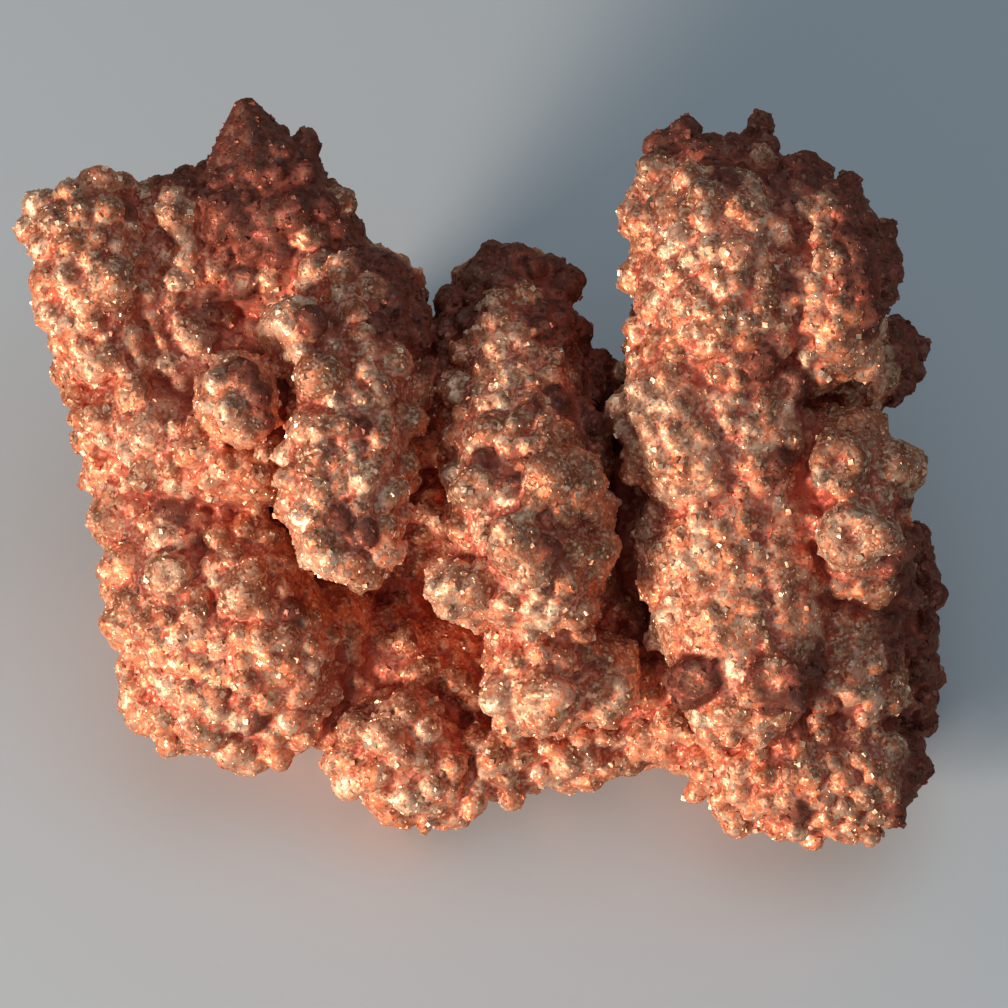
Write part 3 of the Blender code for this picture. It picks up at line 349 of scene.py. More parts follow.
        (8.6, 7.3, 0.75), (9.5, 7.1, 0.5), (10.5, 7.1, 0.5), (10.3, 6.4, 0.7, "g"), (12.1, 7.5, 0.75, "g"),
        (11.3, 6.6, 0.6), (12.1, 6.6, 0.5), (13.0, 7.3, 0.5), (12.9, 6.5, 0.5, "g"), (9.4, 6.3, 0.6, "g"),
        (9.9, 5.6, 0.5), (11.9, 5.0, 0.95, "d"), (11.3, 5.8, 0.5), (12.8, 5.6, 0.6), (10.9, 5.0, 0.5, "g"),
        (10.2, 4.6, 0.7, "g"), (11.0, 4.2, 0.6), (13.2, 3.9, 0.85, "rd"), (12.1, 3.2, 0.5, "g"),
        (14.0, 4.6, 0.5),
    ],
    "crown_side": [
        (14.9, 9.2, 0.9, "rg"), (15.6, 8.4, 0.6, "d"), (14.3, 8.3, 0.6), (14.4, 7.6, 0.6), (15.3, 7.5, 0.6),
        (16.2, 8.6, 0.6, "d"), (16.1, 9.6, 0.7, "d"), (15.6, 10.2, 0.7, "d"), (14.6, 10.2, 0.6, "k"),
        (16.4, 7.7, 0.6, "d"), (16.7, 7.0, 0.7, "d"), (15.9, 7.0, 0.5, "o"), (14.3, 6.7, 0.7),
        (15.2, 6.5, 0.7), (14.8, 5.8, 0.6), (14.0, 5.3, 0.55, "b"), (15.4, 5.6, 0.5), (14.6, 4.4, 0.6),
        (15.2, 3.9, 0.5), (17.6, 6.2, 0.8, "d"), (18.4, 6.0, 0.6, "d"), (18.9, 5.5, 0.5, "d"),
        (18.2, 5.2, 0.7, "d"), (17.2, 5.4, 0.6, "g"), (18.8, 4.5, 0.5, "d"), (18.3, 4.0, 0.6, "d"),
        (17.6, 4.4, 0.6, "g"), (16.7, 4.7, 0.6, "k"), (16.1, 4.2, 0.6, "k"), (16.9, 3.8, 0.6),
        (17.8, 3.4, 0.5, "d"), (15.9, 3.2, 0.6), (16.7, 3.0, 0.5, "g"), (17.1, 2.4, 0.5, "o"),
        (6.8, 6.1, 0.55), (7.5, 6.0, 0.5, "o"), (7.2, 6.6, 0.4), (7.3, 5.4, 0.5, "o"), (8.2, 6.0, 0.4, "o"),
        (6.6, 5.0, 0.5), (6.2, 4.5, 0.5, "b"), (8.3, 5.3, 0.6, "o"),
    ],
    "neck": [
        (6.0, 3.8, 0.6, "p"), (6.0, 2.9, 0.7, "b"), (6.7, 2.7, 0.6, "p"), (7.0, 3.6, 0.7, "p"),
        (8.0, 4.3, 0.8, "k"), (9.3, 3.4, 0.6, "o"), (8.4, 3.0, 0.6, "p"), (9.8, 4.0, 0.6, "o"),
        (10.1, 3.1, 0.6, "p"), (10.8, 3.3, 0.6, "p"), (6.2, 2.0, 0.6, "p"), (7.2, 2.0, 0.8, "p"),
        (8.1, 2.0, 0.7, "k"), (9.0, 2.2, 0.6, "o"), (6.7, 1.2, 0.7, "p"), (7.6, 1.1, 0.7, "p"),
        (8.6, 1.2, 0.6, "p"), (9.5, 1.6, 0.6, "p"), (11.4, 2.3, 0.6, "b"), (10.6, 2.4, 0.6, "p"),
        (11.2, 1.5, 0.5, "p"), (12.2, 2.4, 0.5, "o"), (13.0, 2.7, 0.5, "p"), (13.9, 2.4, 0.5, "o"),
        (14.9, 2.6, 0.6, "o"),
    ],
    "trunk": [
        (6.5, 0.1, 0.6), (6.9, -0.5, 0.4), (7.7, 0.5, 0.7, "g"), (8.6, 0.4, 0.8, "o"), (9.5, 0.4, 0.8),
        (10.0, -0.4, 0.5), (8.4, -0.5, 0.6, "p"), (11.0, 0.5, 0.6), (11.7, 0.4, 0.6), (12.7, 0.6, 0.9, "d"),
        (12.9, -0.2, 0.6, "g"), (11.9, -0.3, 0.7), (13.2, 1.6, 0.6, "k"), (12.5, 1.6, 0.5), (11.0, -0.7, 0.6),
        (12.6, -1.1, 0.6), (9.4, -1.9, 0.8), (10.2, -2.4, 0.6), (11.2, -2.0, 0.6, "o"), (12.0, -2.0, 0.5),
        (7.6, -1.6, 0.8), (7.0, -1.6, 0.5), (7.2, -2.6, 0.8, "g"), (7.1, -3.3, 0.6), (7.9, -3.4, 0.8, "g"),
        (8.1, -4.3, 0.6), (8.5, -2.6, 0.7), (8.9, -3.8, 0.6), (9.8, -3.2, 0.7), (9.3, -4.6, 0.7),
        (10.7, -3.4, 0.6, "o"), (11.3, -3.0, 0.5), (11.8, -3.5, 0.8), (12.7, -3.1, 0.7),
        (12.8, -4.1, 0.8, "g"), (10.9, -4.4, 0.6), (11.7, -4.6, 0.6), (13.6, -3.9, 0.7), (14.2, -4.7, 0.6),
        (12.9, -5.2, 0.7, "g"), (13.8, -5.6, 0.6), (12.9, -6.3, 0.6), (11.6, -5.6, 0.6), (10.6, -5.2, 0.6),
        (7.4, -7.1, 0.55, "b"), (8.0, -6.0, 0.6, "p"), (8.3, -5.4, 0.6), (8.6, -6.6, 0.5), (7.5, -5.3, 0.4),
        (8.3, -7.3, 0.4), (9.2, -5.9, 0.6), (10.0, -6.0, 0.6, "o"), (9.3, -7.0, 0.6), (10.2, -6.9, 0.6),
        (11.6, -6.4, 0.6, "g"), (12.1, -7.0, 0.5, "g"), (9.2, -8.8, 1.15, "rd"), (11.0, -8.4, 0.55, "b"),
        (12.5, -9.0, 1.3, "rd"), (12.7, -8.2, 0.6, "g"), (13.4, -8.6, 0.6, "d"), (13.4, -9.6, 0.6, "d"),
        (11.6, -9.5, 0.6), (11.0, -10.0, 0.7, "g"), (11.9, -10.5, 0.6), (12.9, -10.3, 0.6, "g"),
        (10.2, -10.1, 0.5), (9.4, -10.4, 0.5, "b"), (13.1, -7.4, 0.6, "g"), (14.3, -8.3, 0.6, "d"),
        (14.1, -9.2, 0.5, "d"), (8.2, -9.5, 0.45), (7.9, -8.1, 0.4),
    ],
    "right_side": [
        (15.4, 0.6, 1.35, "rg"), (17.8, 0.3, 1.35, "g"), (17.2, -0.8, 0.6), (18.0, -1.0, 0.6, "d"),
        (14.6, -0.2, 0.5, "b"), (15.5, -0.5, 0.6, "o"), (16.3, -0.6, 0.5, "o"), (15.9, -2.6, 1.6, "rp"),
        (17.2, -2.6, 0.8, "g"), (18.0, -3.0, 0.8, "d"), (17.6, -3.8, 0.6, "d"), (18.1, -1.6, 0.35),
        (14.2, -1.9, 0.5, "o"), (16.4, -4.9, 0.7), (17.2, -4.8, 0.7, "g"), (17.9, -4.5, 0.6, "d"),
        (15.4, -4.8, 0.6), (18.2, -5.3, 0.6, "d"), (17.0, -5.4, 0.5), (15.4, -6.4, 0.7, "o"),
        (16.4, -6.6, 0.7, "o"), (15.3, -7.3, 0.7, "o"), (16.2, -7.4, 0.7), (17.4, -6.4, 0.7, "d"),
        (18.0, -6.0, 0.45, "b"), (17.7, -7.2, 0.6, "d"), (18.4, -7.3, 0.5, "d"), (15.0, -8.2, 0.6),
        (15.9, -8.4, 0.7), (16.9, -8.1, 0.6), (17.6, -8.3, 0.5, "d"), (17.8, -8.9, 0.6, "g"),
        (15.2, -9.0, 0.6), (16.0, -9.4, 0.8, "p"), (16.8, -9.7, 0.6), (16.9, -9.2, 0.5),
        (17.7, -9.8, 0.6, "g"), (14.6, -9.8, 0.6), (15.7, -10.8, 0.55, "b"), (14.4, -10.6, 0.5),
        (16.6, -10.4, 0.6), (17.6, -10.7, 0.6, "d"), (18.9, -2.6, 0.6, "d"), (19.0, -3.4, 0.5, "d"),
        (19.2, -4.2, 0.65, "d"), (19.4, -5.2, 0.55, "d"), (19.2, -5.9, 0.55, "d"), (19.4, -6.7, 0.5, "d"),
        (19.2, -7.5, 0.55, "d"), (19.0, -8.3, 0.5, "d"), (18.6, -8.7, 0.4, "d"), (19.3, -9.7, 0.65, "d"),
        (19.0, -10.4, 0.5, "d"),
    ],
    "right_foot": [
        (9.6, -12.8, 0.75), (9.3, -13.6, 0.5), (10.2, -11.9, 0.6), (9.4, -11.3, 0.6), (10.7, -11.3, 0.5),
        (11.1, -12.7, 0.65, "p"), (11.9, -12.0, 0.6, "o"), (12.0, -11.3, 0.5), (12.9, -11.5, 0.6),
        (13.7, -11.8, 0.5), (14.6, -11.2, 0.7), (12.2, -13.0, 0.6, "o"), (13.4, -12.9, 0.5, "g"),
        (14.1, -13.0, 0.6), (13.9, -12.3, 0.5, "g"), (11.1, -13.6, 0.7), (10.3, -13.9, 0.6),
        (10.8, -14.5, 0.7), (11.7, -14.4, 0.6), (12.3, -14.1, 0.6), (13.1, -14.0, 0.5),
        (13.6, -14.4, 0.6, "d"), (14.6, -14.0, 0.6), (11.3, -15.3, 0.4), (12.8, -15.3, 0.6),
        (13.6, -15.3, 0.55), (14.4, -15.6, 0.55), (15.2, -15.3, 0.5), (14.9, -14.8, 0.6), (15.6, -14.2, 0.6),
        (15.5, -13.3, 0.7), (15.2, -12.5, 0.5), (16.2, -12.3, 0.6), (16.9, -12.9, 0.6),
        (16.5, -13.8, 0.7, "g"), (16.0, -15.0, 0.6), (16.7, -15.5, 0.45), (17.0, -14.7, 0.6, "g"),
        (17.5, -13.5, 0.6, "g"), (18.6, -12.7, 0.85, "d"), (18.2, -13.8, 0.6, "d"), (17.7, -14.4, 0.5, "d"),
        (17.8, -11.8, 0.7, "g"), (18.8, -11.8, 0.5, "d"), (16.2, -11.4, 0.5), (17.0, -11.3, 0.5),
    ],
}

# What a bud's look letters mean: dark tarnish with painted shade, olive tarnish, orange blush, paleness with
# painted highlight, depth of its pit.
BUD_LOOKS = {
    "d": (1.0, 0.0, 0.0, 0.0, 0.0),    # dark tarnish, partly painted shade on parts facing away from the key
    "g": (0.0, 1.0, 0.0, 0.0, 0.0),    # olive
    "p": (0.0, 0.0, 0.0, 0.5, 0.0),    # pale
    "b": (0.0, 0.0, 0.0, 1.0, 0.0),    # bright: a painted highlight, as on a face turned to the key
    "o": (0.0, 0.0, 1.0, 0.0, 0.0),    # orange
    "k": (0.0, 0.0, 0.5, 0.3, 0.0),    # pink
    "r": (0.0, 0.3, 0.0, 0.0, 0.5),    # a ring bud, with a pit in it
}
TRAITS = ("dark", "olive", "blush", "bright")

# The columns of a seated bud: its centre's u, v and w, and then these, with the traits from DARK_AT on.
RADIUS, DARK_AT, PIT, SINK, TONE, LUCK, COLUMNS = 3, 4, 8, 9, 10, 11, 12

# Dark places that are not buds, as (u, v, w, radius): painted shade with some dark tarnish on upper parts
# facing away from the key.
SHADED_DARK_SPOTS = [(10.6, 13.3, 7.0, 1.3), (13.4, 12.6, 6.6, 1.3), (-9.6, 10.8, 4.4, 1.7), (-7.2, 10.9, 4.4, 1.7),
              (-10.2, 15.0, 3.6, 1.3), (-10.0, 13.6, 3.6, 2.0), (-8.6, 12.8, 3.4, 2.0), (-3.9, 9.8, 2.6, 1.4)]

# Where the colour sits on a bud. Ways are directions from its centre, slopes are angles off PIT_WAY.
SHADE_CAP_WAY = np.array([0.36, 0.30, 0.88])     # of the dark cap, tarnish and painted shade on the side away from the key: up and to the right of the bud's top
CAP_START, CAP_END = 0.66, 0.88            # cosines from the cap's middle at which it begins and is full
CAP_SHARE = 0.75                           # share of the buds that have one
PIT_WAY = np.array([-0.1, 0.0, 1.0]) / math.sqrt(1.01)
RING_SLOPE, RING_WIDTH = 0.85, 0.3         # of the dark ring round a pit
PIT_SLOPE, PIT_LIGHT = 0.5, 0.9            # of the pit's floor, and the share of the dark tarnish and shade that it lacks
TRAIT_FULL, TRAIT_FADE = 0.6, 0.8          # distance off a bud to which its look is full, and fades out
BLOCK = 4000                               # points looked up at a time, to save memory

# ---------------------------------------------------------------- objects and meshes


def new_object(name, data):
    """An object in the scene for a mesh, a lens or a lamp."""
    made = bpy.data.objects.new(name, data)
    bpy.context.scene.collection.objects.link(made)
    return made


def add_modifier(thing, kind, **settings):
    """Puts a modifier on the object."""
    made = thing.modifiers.new(kind.lower(), kind)
    for name, value in settings.items():
        setattr(made, name, value)


def applied(thing):
    """A plain mesh of the object with its modifiers applied. The object goes."""
    done = bpy.data.meshes.new_from_object(thing.evaluated_get(bpy.context.evaluated_depsgraph_get()))
    bpy.data.objects.remove(thing, do_unlink=True)
    return done


def read(rows, name, width, kind=np.float32):
    """A named value of every point, edge or face, as rows of an array."""
    found = np.zeros(width * len(rows), kind)
    rows.foreach_get(name, found)
    return found.reshape(-1, width)


def read_points(mesh):
    """The mesh's points as an array."""
    return read(mesh.vertices, "co", 3).astype(float)


def unit_ball(detail):
    """The points and triangles of a ball of radius 1."""
    ball = bmesh.new()
    bmesh.ops.create_icosphere(ball, subdivisions=detail, radius=1.0)
    return taken_out(ball)


def taken_out(form):
    """The points and triangles of a bmesh. The bmesh goes."""
    points = np.array([v.co for v in form.verts])
    faces = np.array([[v.index for v in f.verts] for f in form.faces])
    form.free()
    return points, faces


def hump(values, middle, width, power=2):
    """A smooth hump of height 1 round a middle value."""
    return np.exp(-(((values - middle) / width) ** power))


# ---------------------------------------------------------------- heaps of lumps


class Heap:
    """Loose lumps that overlap, kept as arrays until they are grown together."""

    def __init__(self):
        self.points, self.faces, self.count = [], [], 0

    def add(self, points, faces):
        """Adds one closed lump."""
        self.points.append(points)
        self.faces.append(faces + self.count)
        self.count += len(points)

    def mesh(self, name):
        """The lumps as one mesh."""
        points, faces = np.concatenate(self.points), np.concatenate(self.faces)
        made = bpy.data.meshes.new(name)
        made.vertices.add(len(points))
        made.vertices.foreach_set("co", points.astype(np.float32).ravel())
        made.loops.add(3 * len(faces))
        made.loops.foreach_set("vertex_index", faces.astype(np.int32).ravel())
        made.polygons.add(len(faces))
        made.polygons.foreach_set("loop_start", np.arange(0, 3 * len(faces), 3, dtype=np.int32))
        made.update(calc_edges=True)
        return made

    def surface(self):
        """A searchable copy of the lumps' surfaces."""
        points, faces = np.concatenate(self.points), np.concatenate(self.faces)
        return BVHTree.FromPolygons(points.tolist(), faces.tolist())


def grown_together(mesh, voxel, tree=None, values=None):
    """The overlapping lumps of a mesh as one skin, worked over by a tree if one is given."""
    loose = new_object("loose", mesh)
    add_modifier(loose, "REMESH", mode="VOXEL", voxel_size=voxel)
    if tree:
        use_tree(loose, tree, values)
    return applied(loose)


def add_fingers(heap, ball):
    """Adds each finger as balls along its chain."""
    points, faces = ball
    for chain in FINGERS.values():
        for (*start, first), (*end, last) in zip(chain, chain[1:]):
            start, end = np.array(start), np.array(end)
            steps = max(1, math.ceil(np.linalg.norm(end - start) / (BALL_STEP * min(first, last))))
            for step in range(steps + 1):
                share = step / steps
                heap.add(points * (first + (last - first) * share) + start + (end - start) * share, faces)


def add_peak(heap):
    """Adds the pointed crystal and the cone that roots it in the body."""
    base, tip = Vector(PEAK_BASE), Vector(PEAK_TIP)
    turn = (tip - base).to_track_quat("Z", "Y").to_matrix().to_4x4()
    depth, radius = PEAK_ROOT
    root = base - (tip - base).normalized() * depth
    for low, high, wide, narrow in ((base, tip, PEAK_RADIUS, PEAK_TIP_RADIUS),
                                    (root, base, radius, PEAK_RADIUS)):
        cone = bmesh.new()
        bmesh.ops.create_cone(
            cone, cap_ends=True, cap_tris=True, segments=PEAK_SIDES, radius1=wide, radius2=narrow,
            depth=(high - low).length, matrix=Matrix.Translation((low + high) / 2) @ turn,
        )
        bmesh.ops.triangulate(cone, faces=cone.faces)
        heap.add(*taken_out(cone))


def add_rocks(heap, ball, body):
    """Adds the plainer lumps of the sides and the back, where the CAD has them."""
    points, faces = ball
    picks = random.Random(ROCK_SEED)
    spots = [f for f in body.polygons if f.normal.z < SIDE_FACING]
    picks.shuffle(spots)
    placed = []
    for spot in spots:
        radius = picks.uniform(SMALLEST_ROCK, LARGEST_ROCK)
        rise = BACK_RISE * radius if spot.normal.z < BACK_FACING else SIDE_RISE
        centre = spot.center - spot.normal * (radius - rise)
        clear = all((centre - other).length > ROCK_GAP * (radius + size) for other, size in placed)
        if clear and centre.y < ROCK_TOP:
            placed.append((centre, radius))
            heap.add(points * radius + np.array(centre), faces)
        if len(placed) == ROCK_COUNT:
            break


def add_feet(heap, ball):
    """Adds the foot buds, which reach just below the floor."""
    points, faces = ball
    to_face = Matrix.Rotation(-LEAN, 4, "X") @ Matrix.Translation((0, 0, -STAND))
    for u, depth, radius in FEET:
        centre = to_face @ Vector((u, FEET_FRONT + depth, radius - FOOT_WEAR))
        heap.add(points * radius + np.array(centre), faces)


# ---------------------------------------------------------------- buds


def bud_rows():
    """Every bud of the broad face as (u, v, radius, look, sink)."""
    return [(u, v, radius, "".join(look),
             BOLD_SINK if radius > BOLD_BUD else SINK_BY_AREA.get(area, BUD_SINK))
            for area, buds in FACE_BUDS.items() for u, v, radius, *look in buds]


def bud_shape(points, picks, pit, sharp):
    """A bud of radius 1: a ball with a few flats on it, or with a pit near its top if it is a ring bud."""
    flats = picks.integers(*BUD_FLATS)
    ways = picks.normal(size=(flats, 3))
    ways /= np.linalg.norm(ways, axis=1)[:, None]
    reach = picks.uniform(*(SHARP_REACH if sharp else ROUND_REACH), flats)
    facing = points @ ways.T
    least, far = 0.1, 9.0   # a flat that faces less than the least doesn't cut, and far is past them all
    length = np.where(facing > least, reach / np.maximum(facing, least), far).min(axis=1).clip(max=1.0)
    if pit:
        slope = np.arccos((points @ PIT_WAY).clip(-1, 1))
        length = 1.0 - pit * hump(slope, 0.0, PIT_WIDTH) + RIM_RISE * hump(slope, RIM_PLACE, RIM_WIDTH)
    stretch = picks.uniform(*BUD_STRETCH, 3)
    return points * length[:, None] * stretch


def bud_seat(surface, u, v):
    """The point of the body that a bud at u, v grows from: under it, or beside it where it overhangs."""
    above, beside = 60.0, 5.0
    point = surface.ray_cast(Vector((u, v, above)), Vector((0.0, 0.0, -1.0)))[0]
    if point is None:
        point = Vector((u, v, beside))
        for _ in range(4):
            point = Vector((u, v, surface.find_nearest(point)[0].z))
    return np.array(point)


def add_face_buds(heap, ball, picks):
    """Adds the buds of the broad face, the big ones first, and returns where they are and how they look."""
    points, faces = ball
    rows = bud_rows()
    seated = []
    for group in ([r for r in rows if r[2] >= BIG_BUD], [r for r in rows if r[2] < BIG_BUD]):
        surface = heap.surface()
        for u, v, radius, look, sink in group:
            centre = bud_seat(surface, u, v) - np.array([0.0, 0.0, sink * radius])
            *traits, pit = np.sum([BUD_LOOKS[letter] for letter in look] or [(0.0,) * 5], axis=0)
            sharp = "p" in look or "b" in look
            radius *= picks.uniform(*BUD_SIZES)
            heap.add(bud_shape(points, picks, pit, sharp) * radius + centre, faces)
            tone, luck = picks.random(), picks.random()
            seated.append((*centre, radius, *traits, pit, sink, tone, luck))
    return np.array(seated)


def away_from_peak(points):
    """Each point's distance from the line up the middle of the pointed crystal."""
    foot, tip = np.array(PEAK_BASE), np.array(PEAK_TIP)
    share = ((points - foot) @ (tip - foot) / ((tip - foot) @ (tip - foot))).clip(0, 1)
    return np.linalg.norm(points - foot - share[:, None] * (tip - foot), axis=1)


def add_young_buds(heap, skin, buds, tree, values):
    """Strews young buds over the skin, clear of the tops of its buds, and heaps them with the rest."""
    host = new_object("host", skin)
    use_tree(host, tree, values)
    young = applied(host)
    corners = read(young.polygons, "vertices", 3, np.int32).reshape(-1, YOUNG_FACES, 3)
    points = read_points(young).reshape(-1, YOUNG_POINTS, 3)
    middles = points.mean(axis=1)
    out = middles[:, None] - buds[None, :, :3]
    length = np.linalg.norm(out, axis=2)
    radii = buds[None, :, RADIUS]
    crowned = (out[:, :, 2] > BARE_TOP * length) & (length < radii + BARE_REACH)
    flat = buds[(length - radii).argmin(axis=1), SINK] > FLAT_SINK
    bare = (crowned.any(axis=1) | flat) & (np.random.default_rng(SEED).random(len(middles)) < BARE_SHARE)
    bare |= (crowned & (radii > BOLD_BUD)).any(axis=1)
    left = (middles[:, 0] < PEAK_BASE[0] + PEAK_BARE_SIDE) & (middles[:, 1] > PEAK_BASE[1])
    bare |= (away_from_peak(middles) < PEAK_RADIUS) & left
    for ball_points, ball_faces in zip(points[~bare], corners[~bare]):
        heap.add(ball_points, ball_faces - ball_faces.min())


# ---------------------------------------------------------------- node helpers


def add_node(tree, kind, inputs=None, **settings):
    """Adds a node, with its settings and its inputs, each a plain value or another node's socket."""
    made = tree.nodes.new(kind)
    for name, value in settings.items():
        setattr(made, name, value)
    for name, value in (inputs or {}).items():
        if isinstance(value, bpy.types.NodeSocket):
            tree.links.new(value, made.inputs[name])
        else:
            made.inputs[name].default_value = value
    return made


def maths(tree, operation, *values, clamp=False):
    """A Math node's result."""
    return add_node(tree, "ShaderNodeMath", dict(enumerate(values)),
                    operation=operation, use_clamp=clamp).outputs[0]


def times(tree, first, second):
    """One value times another."""
    return maths(tree, "MULTIPLY", first, second)


def vectors(tree, operation, *values, out="Vector", **more):
    """A Vector Math node's result."""
    return add_node(tree, "ShaderNodeVectorMath", {**dict(enumerate(values)), **more},
                    operation=operation).outputs[out]


def part_of(tree, vector, axis):
    """One part of a vector or a colour."""
    return add_node(tree, "ShaderNodeSeparateXYZ", {0: vector}).outputs[axis]


def random_value(tree, kind, least, most, start, shift=0):
    """A random number or vector for each point, from the tree's own seed."""
    seed = start.outputs["Seed"]
    if shift:
        seed = maths(tree, "ADD", seed, float(shift))
    first, out = {"FLOAT": (2, 1), "FLOAT_VECTOR": (0, 0)}[kind]   # where this kind's sockets are
    return add_node(tree, "FunctionNodeRandomValue", {first: least, first + 1: most, "Seed": seed},
                    data_type=kind).outputs[out]


def new_tree(name, inputs):
    """A Geometry Nodes tree with named inputs, and its two end nodes."""
    tree = bpy.data.node_groups.new(name, "GeometryNodeTree")
    tree.interface.new_socket("Geometry", in_out="INPUT", socket_type="NodeSocketGeometry")
    for label, value in inputs.items():
        kind = "NodeSocketInt" if isinstance(value, int) else "NodeSocketFloat"
        tree.interface.new_socket(label, in_out="INPUT", socket_type=kind).default_value = value
    tree.interface.new_socket("Geometry", in_out="OUTPUT", socket_type="NodeSocketGeometry")
    return tree, tree.nodes.new("NodeGroupInput"), tree.nodes.new("NodeGroupOutput")


def end_tree(tree, end, geometry, material):
    """Ends a tree with its instances made real and the material set."""
    real = add_node(tree, "GeometryNodeRealizeInstances", {0: geometry})
    coated = add_node(tree, "GeometryNodeSetMaterial", {"Geometry": real.outputs[0], "Material": material})
    tree.links.new(coated.outputs[0], end.inputs[0])
    return tree


def use_tree(thing, tree, values):
    """Puts a Geometry Nodes modifier on the object and sets its inputs by their identifiers."""
    modifier = thing.modifiers.new(tree.name, "NODES")
    modifier.node_group = tree
    ids = {item.name: item.identifier for item in tree.interface.items_tree if item.in_out == "INPUT"}
    for label, value in values.items():
        modifier[ids[label]] = value


def strewn_points(tree, start, where, density):
    """Points strewn over a skin, and the same points sunk in it."""
    points = add_node(tree, "GeometryNodeDistributePointsOnFaces", {
        "Mesh": start.outputs["Geometry"], "Selection": where, "Distance Min": start.outputs["Spacing"],
        "Density Max": density, "Seed": start.outputs["Seed"],
    }, distribute_method="POISSON")
    down = vectors(tree, "SCALE", points.outputs["Normal"], Scale=times(tree, start.outputs["Sink"], -1.0))
    sunk = add_node(tree, "GeometryNodeSetPosition", {"Geometry": points.outputs["Points"], "Offset": down})
    return points, sunk.outputs[0]


# ---------------------------------------------------------------- trees


def young_bud_tree(material):
    """Small uneven buds strewn over the parts of a skin that face between two limits."""
    tree, start, end = new_tree("young_buds", YOUNG_FRONT)
    facing = part_of(tree, add_node(tree, "GeometryNodeInputNormal").outputs[0], "Z")
    above = maths(tree, "GREATER_THAN", facing, start.outputs["Facing from"])
    below = maths(tree, "LESS_THAN", facing, start.outputs["Facing to"])
    sunk = strewn_points(tree, start, times(tree, above, below), YOUNG_DENSITY)[1]
    size = random_value(tree, "FLOAT", start.outputs["Smallest"], start.outputs["Largest"], start)
    ball = add_node(tree, "GeometryNodeMeshIcoSphere", {"Radius": 1.0, "Subdivisions": 2})
    lumps = add_node(tree, "ShaderNodeTexNoise", {"Scale": YOUNG_LUMP_SCALE, "Detail": 0.0}).outputs["Color"]
    shift = vectors(tree, "SCALE", vectors(tree, "SUBTRACT", lumps, (0.5, 0.5, 0.5)), Scale=YOUNG_LUMPS)
    uneven = add_node(tree, "GeometryNodeSetPosition", {"Geometry": ball.outputs["Mesh"], "Offset": shift})
    turn = random_value(tree, "FLOAT_VECTOR", (0.0, 0.0, 0.0), (6.28, 6.28, 6.28), start)
    buds = add_node(tree, "GeometryNodeInstanceOnPoints", {
        "Points": sunk, "Instance": uneven.outputs[0], "Rotation": turn, "Scale": size,
    })
    return end_tree(tree, end, buds.outputs[0], material)


def crust_tree(material):
    """Roughens a skin with knobs, flat-faced grains and pits, all as shape."""
    tree, start, end = new_tree("crust", CRUST)
    place = add_node(tree, "GeometryNodeInputPosition").outputs[0]
    normal = add_node(tree, "GeometryNodeInputNormal").outputs[0]

    def cells(label):
        per_size = maths(tree, "DIVIDE", 1.0, start.outputs[label])
        return add_node(tree, "ShaderNodeTexVoronoi", {"Vector": place, "Scale": per_size}).outputs

    knobs = add_node(tree, "ShaderNodeTexNoise", {
        "Vector": place, "Scale": maths(tree, "DIVIDE", 1.0, start.outputs["Knob size"]), "Detail": 2.0,
    })
    height = times(tree, maths(tree, "SUBTRACT", knobs.outputs[0], 0.5),
                   times(tree, start.outputs["Knob height"], 2.0))
    grains = cells("Grain size")
    round_off = maths(tree, "SUBTRACT", 0.45, grains["Distance"])
    height = maths(tree, "ADD", height, times(tree, round_off, start.outputs["Grain height"]))
    away = vectors(tree, "SUBTRACT", place, grains["Position"])
    slope = vectors(tree, "SUBTRACT", grains["Color"], (0.5, 0.5, 0.5))
    tilted = vectors(tree, "DOT_PRODUCT", away, slope, out="Value")
    height = maths(tree, "ADD", height, times(tree, tilted, start.outputs["Tilt"]))
    pits = cells("Pit size")
    hole = maths(tree, "SUBTRACT", 1.0, maths(tree, "DIVIDE", pits["Distance"], 0.3), clamp=True)
    some = maths(tree, "GREATER_THAN", part_of(tree, pits["Color"], "X"), 0.6)
    hole = times(tree, times(tree, hole, some), start.outputs["Pit depth"])
    height = maths(tree, "SUBTRACT", height, hole)
    moved = add_node(tree, "GeometryNodeSetPosition", {
        "Geometry": start.outputs["Geometry"], "Offset": vectors(tree, "SCALE", normal, Scale=height),
    })
    return end_tree(tree, end, moved.outputs[0], material)


def sugar_point(tree):
    """The shape of a sugar crystal: a three-sided point."""
    return add_node(tree, "GeometryNodeMeshCone", {
        "Vertices": 3, "Side Segments": 1, "Radius Top": 0.0, "Radius Bottom": 1.0, "Depth": SUGAR_POINT,
    }, fill_type="TRIANGLE_FAN").outputs["Mesh"]


def small_cube(tree):
    """The shape of a cube crystal."""
    return add_node(tree, "GeometryNodeMeshCube", {"Size": (CUBE_SIDE,) * 3}).outputs["Mesh"]


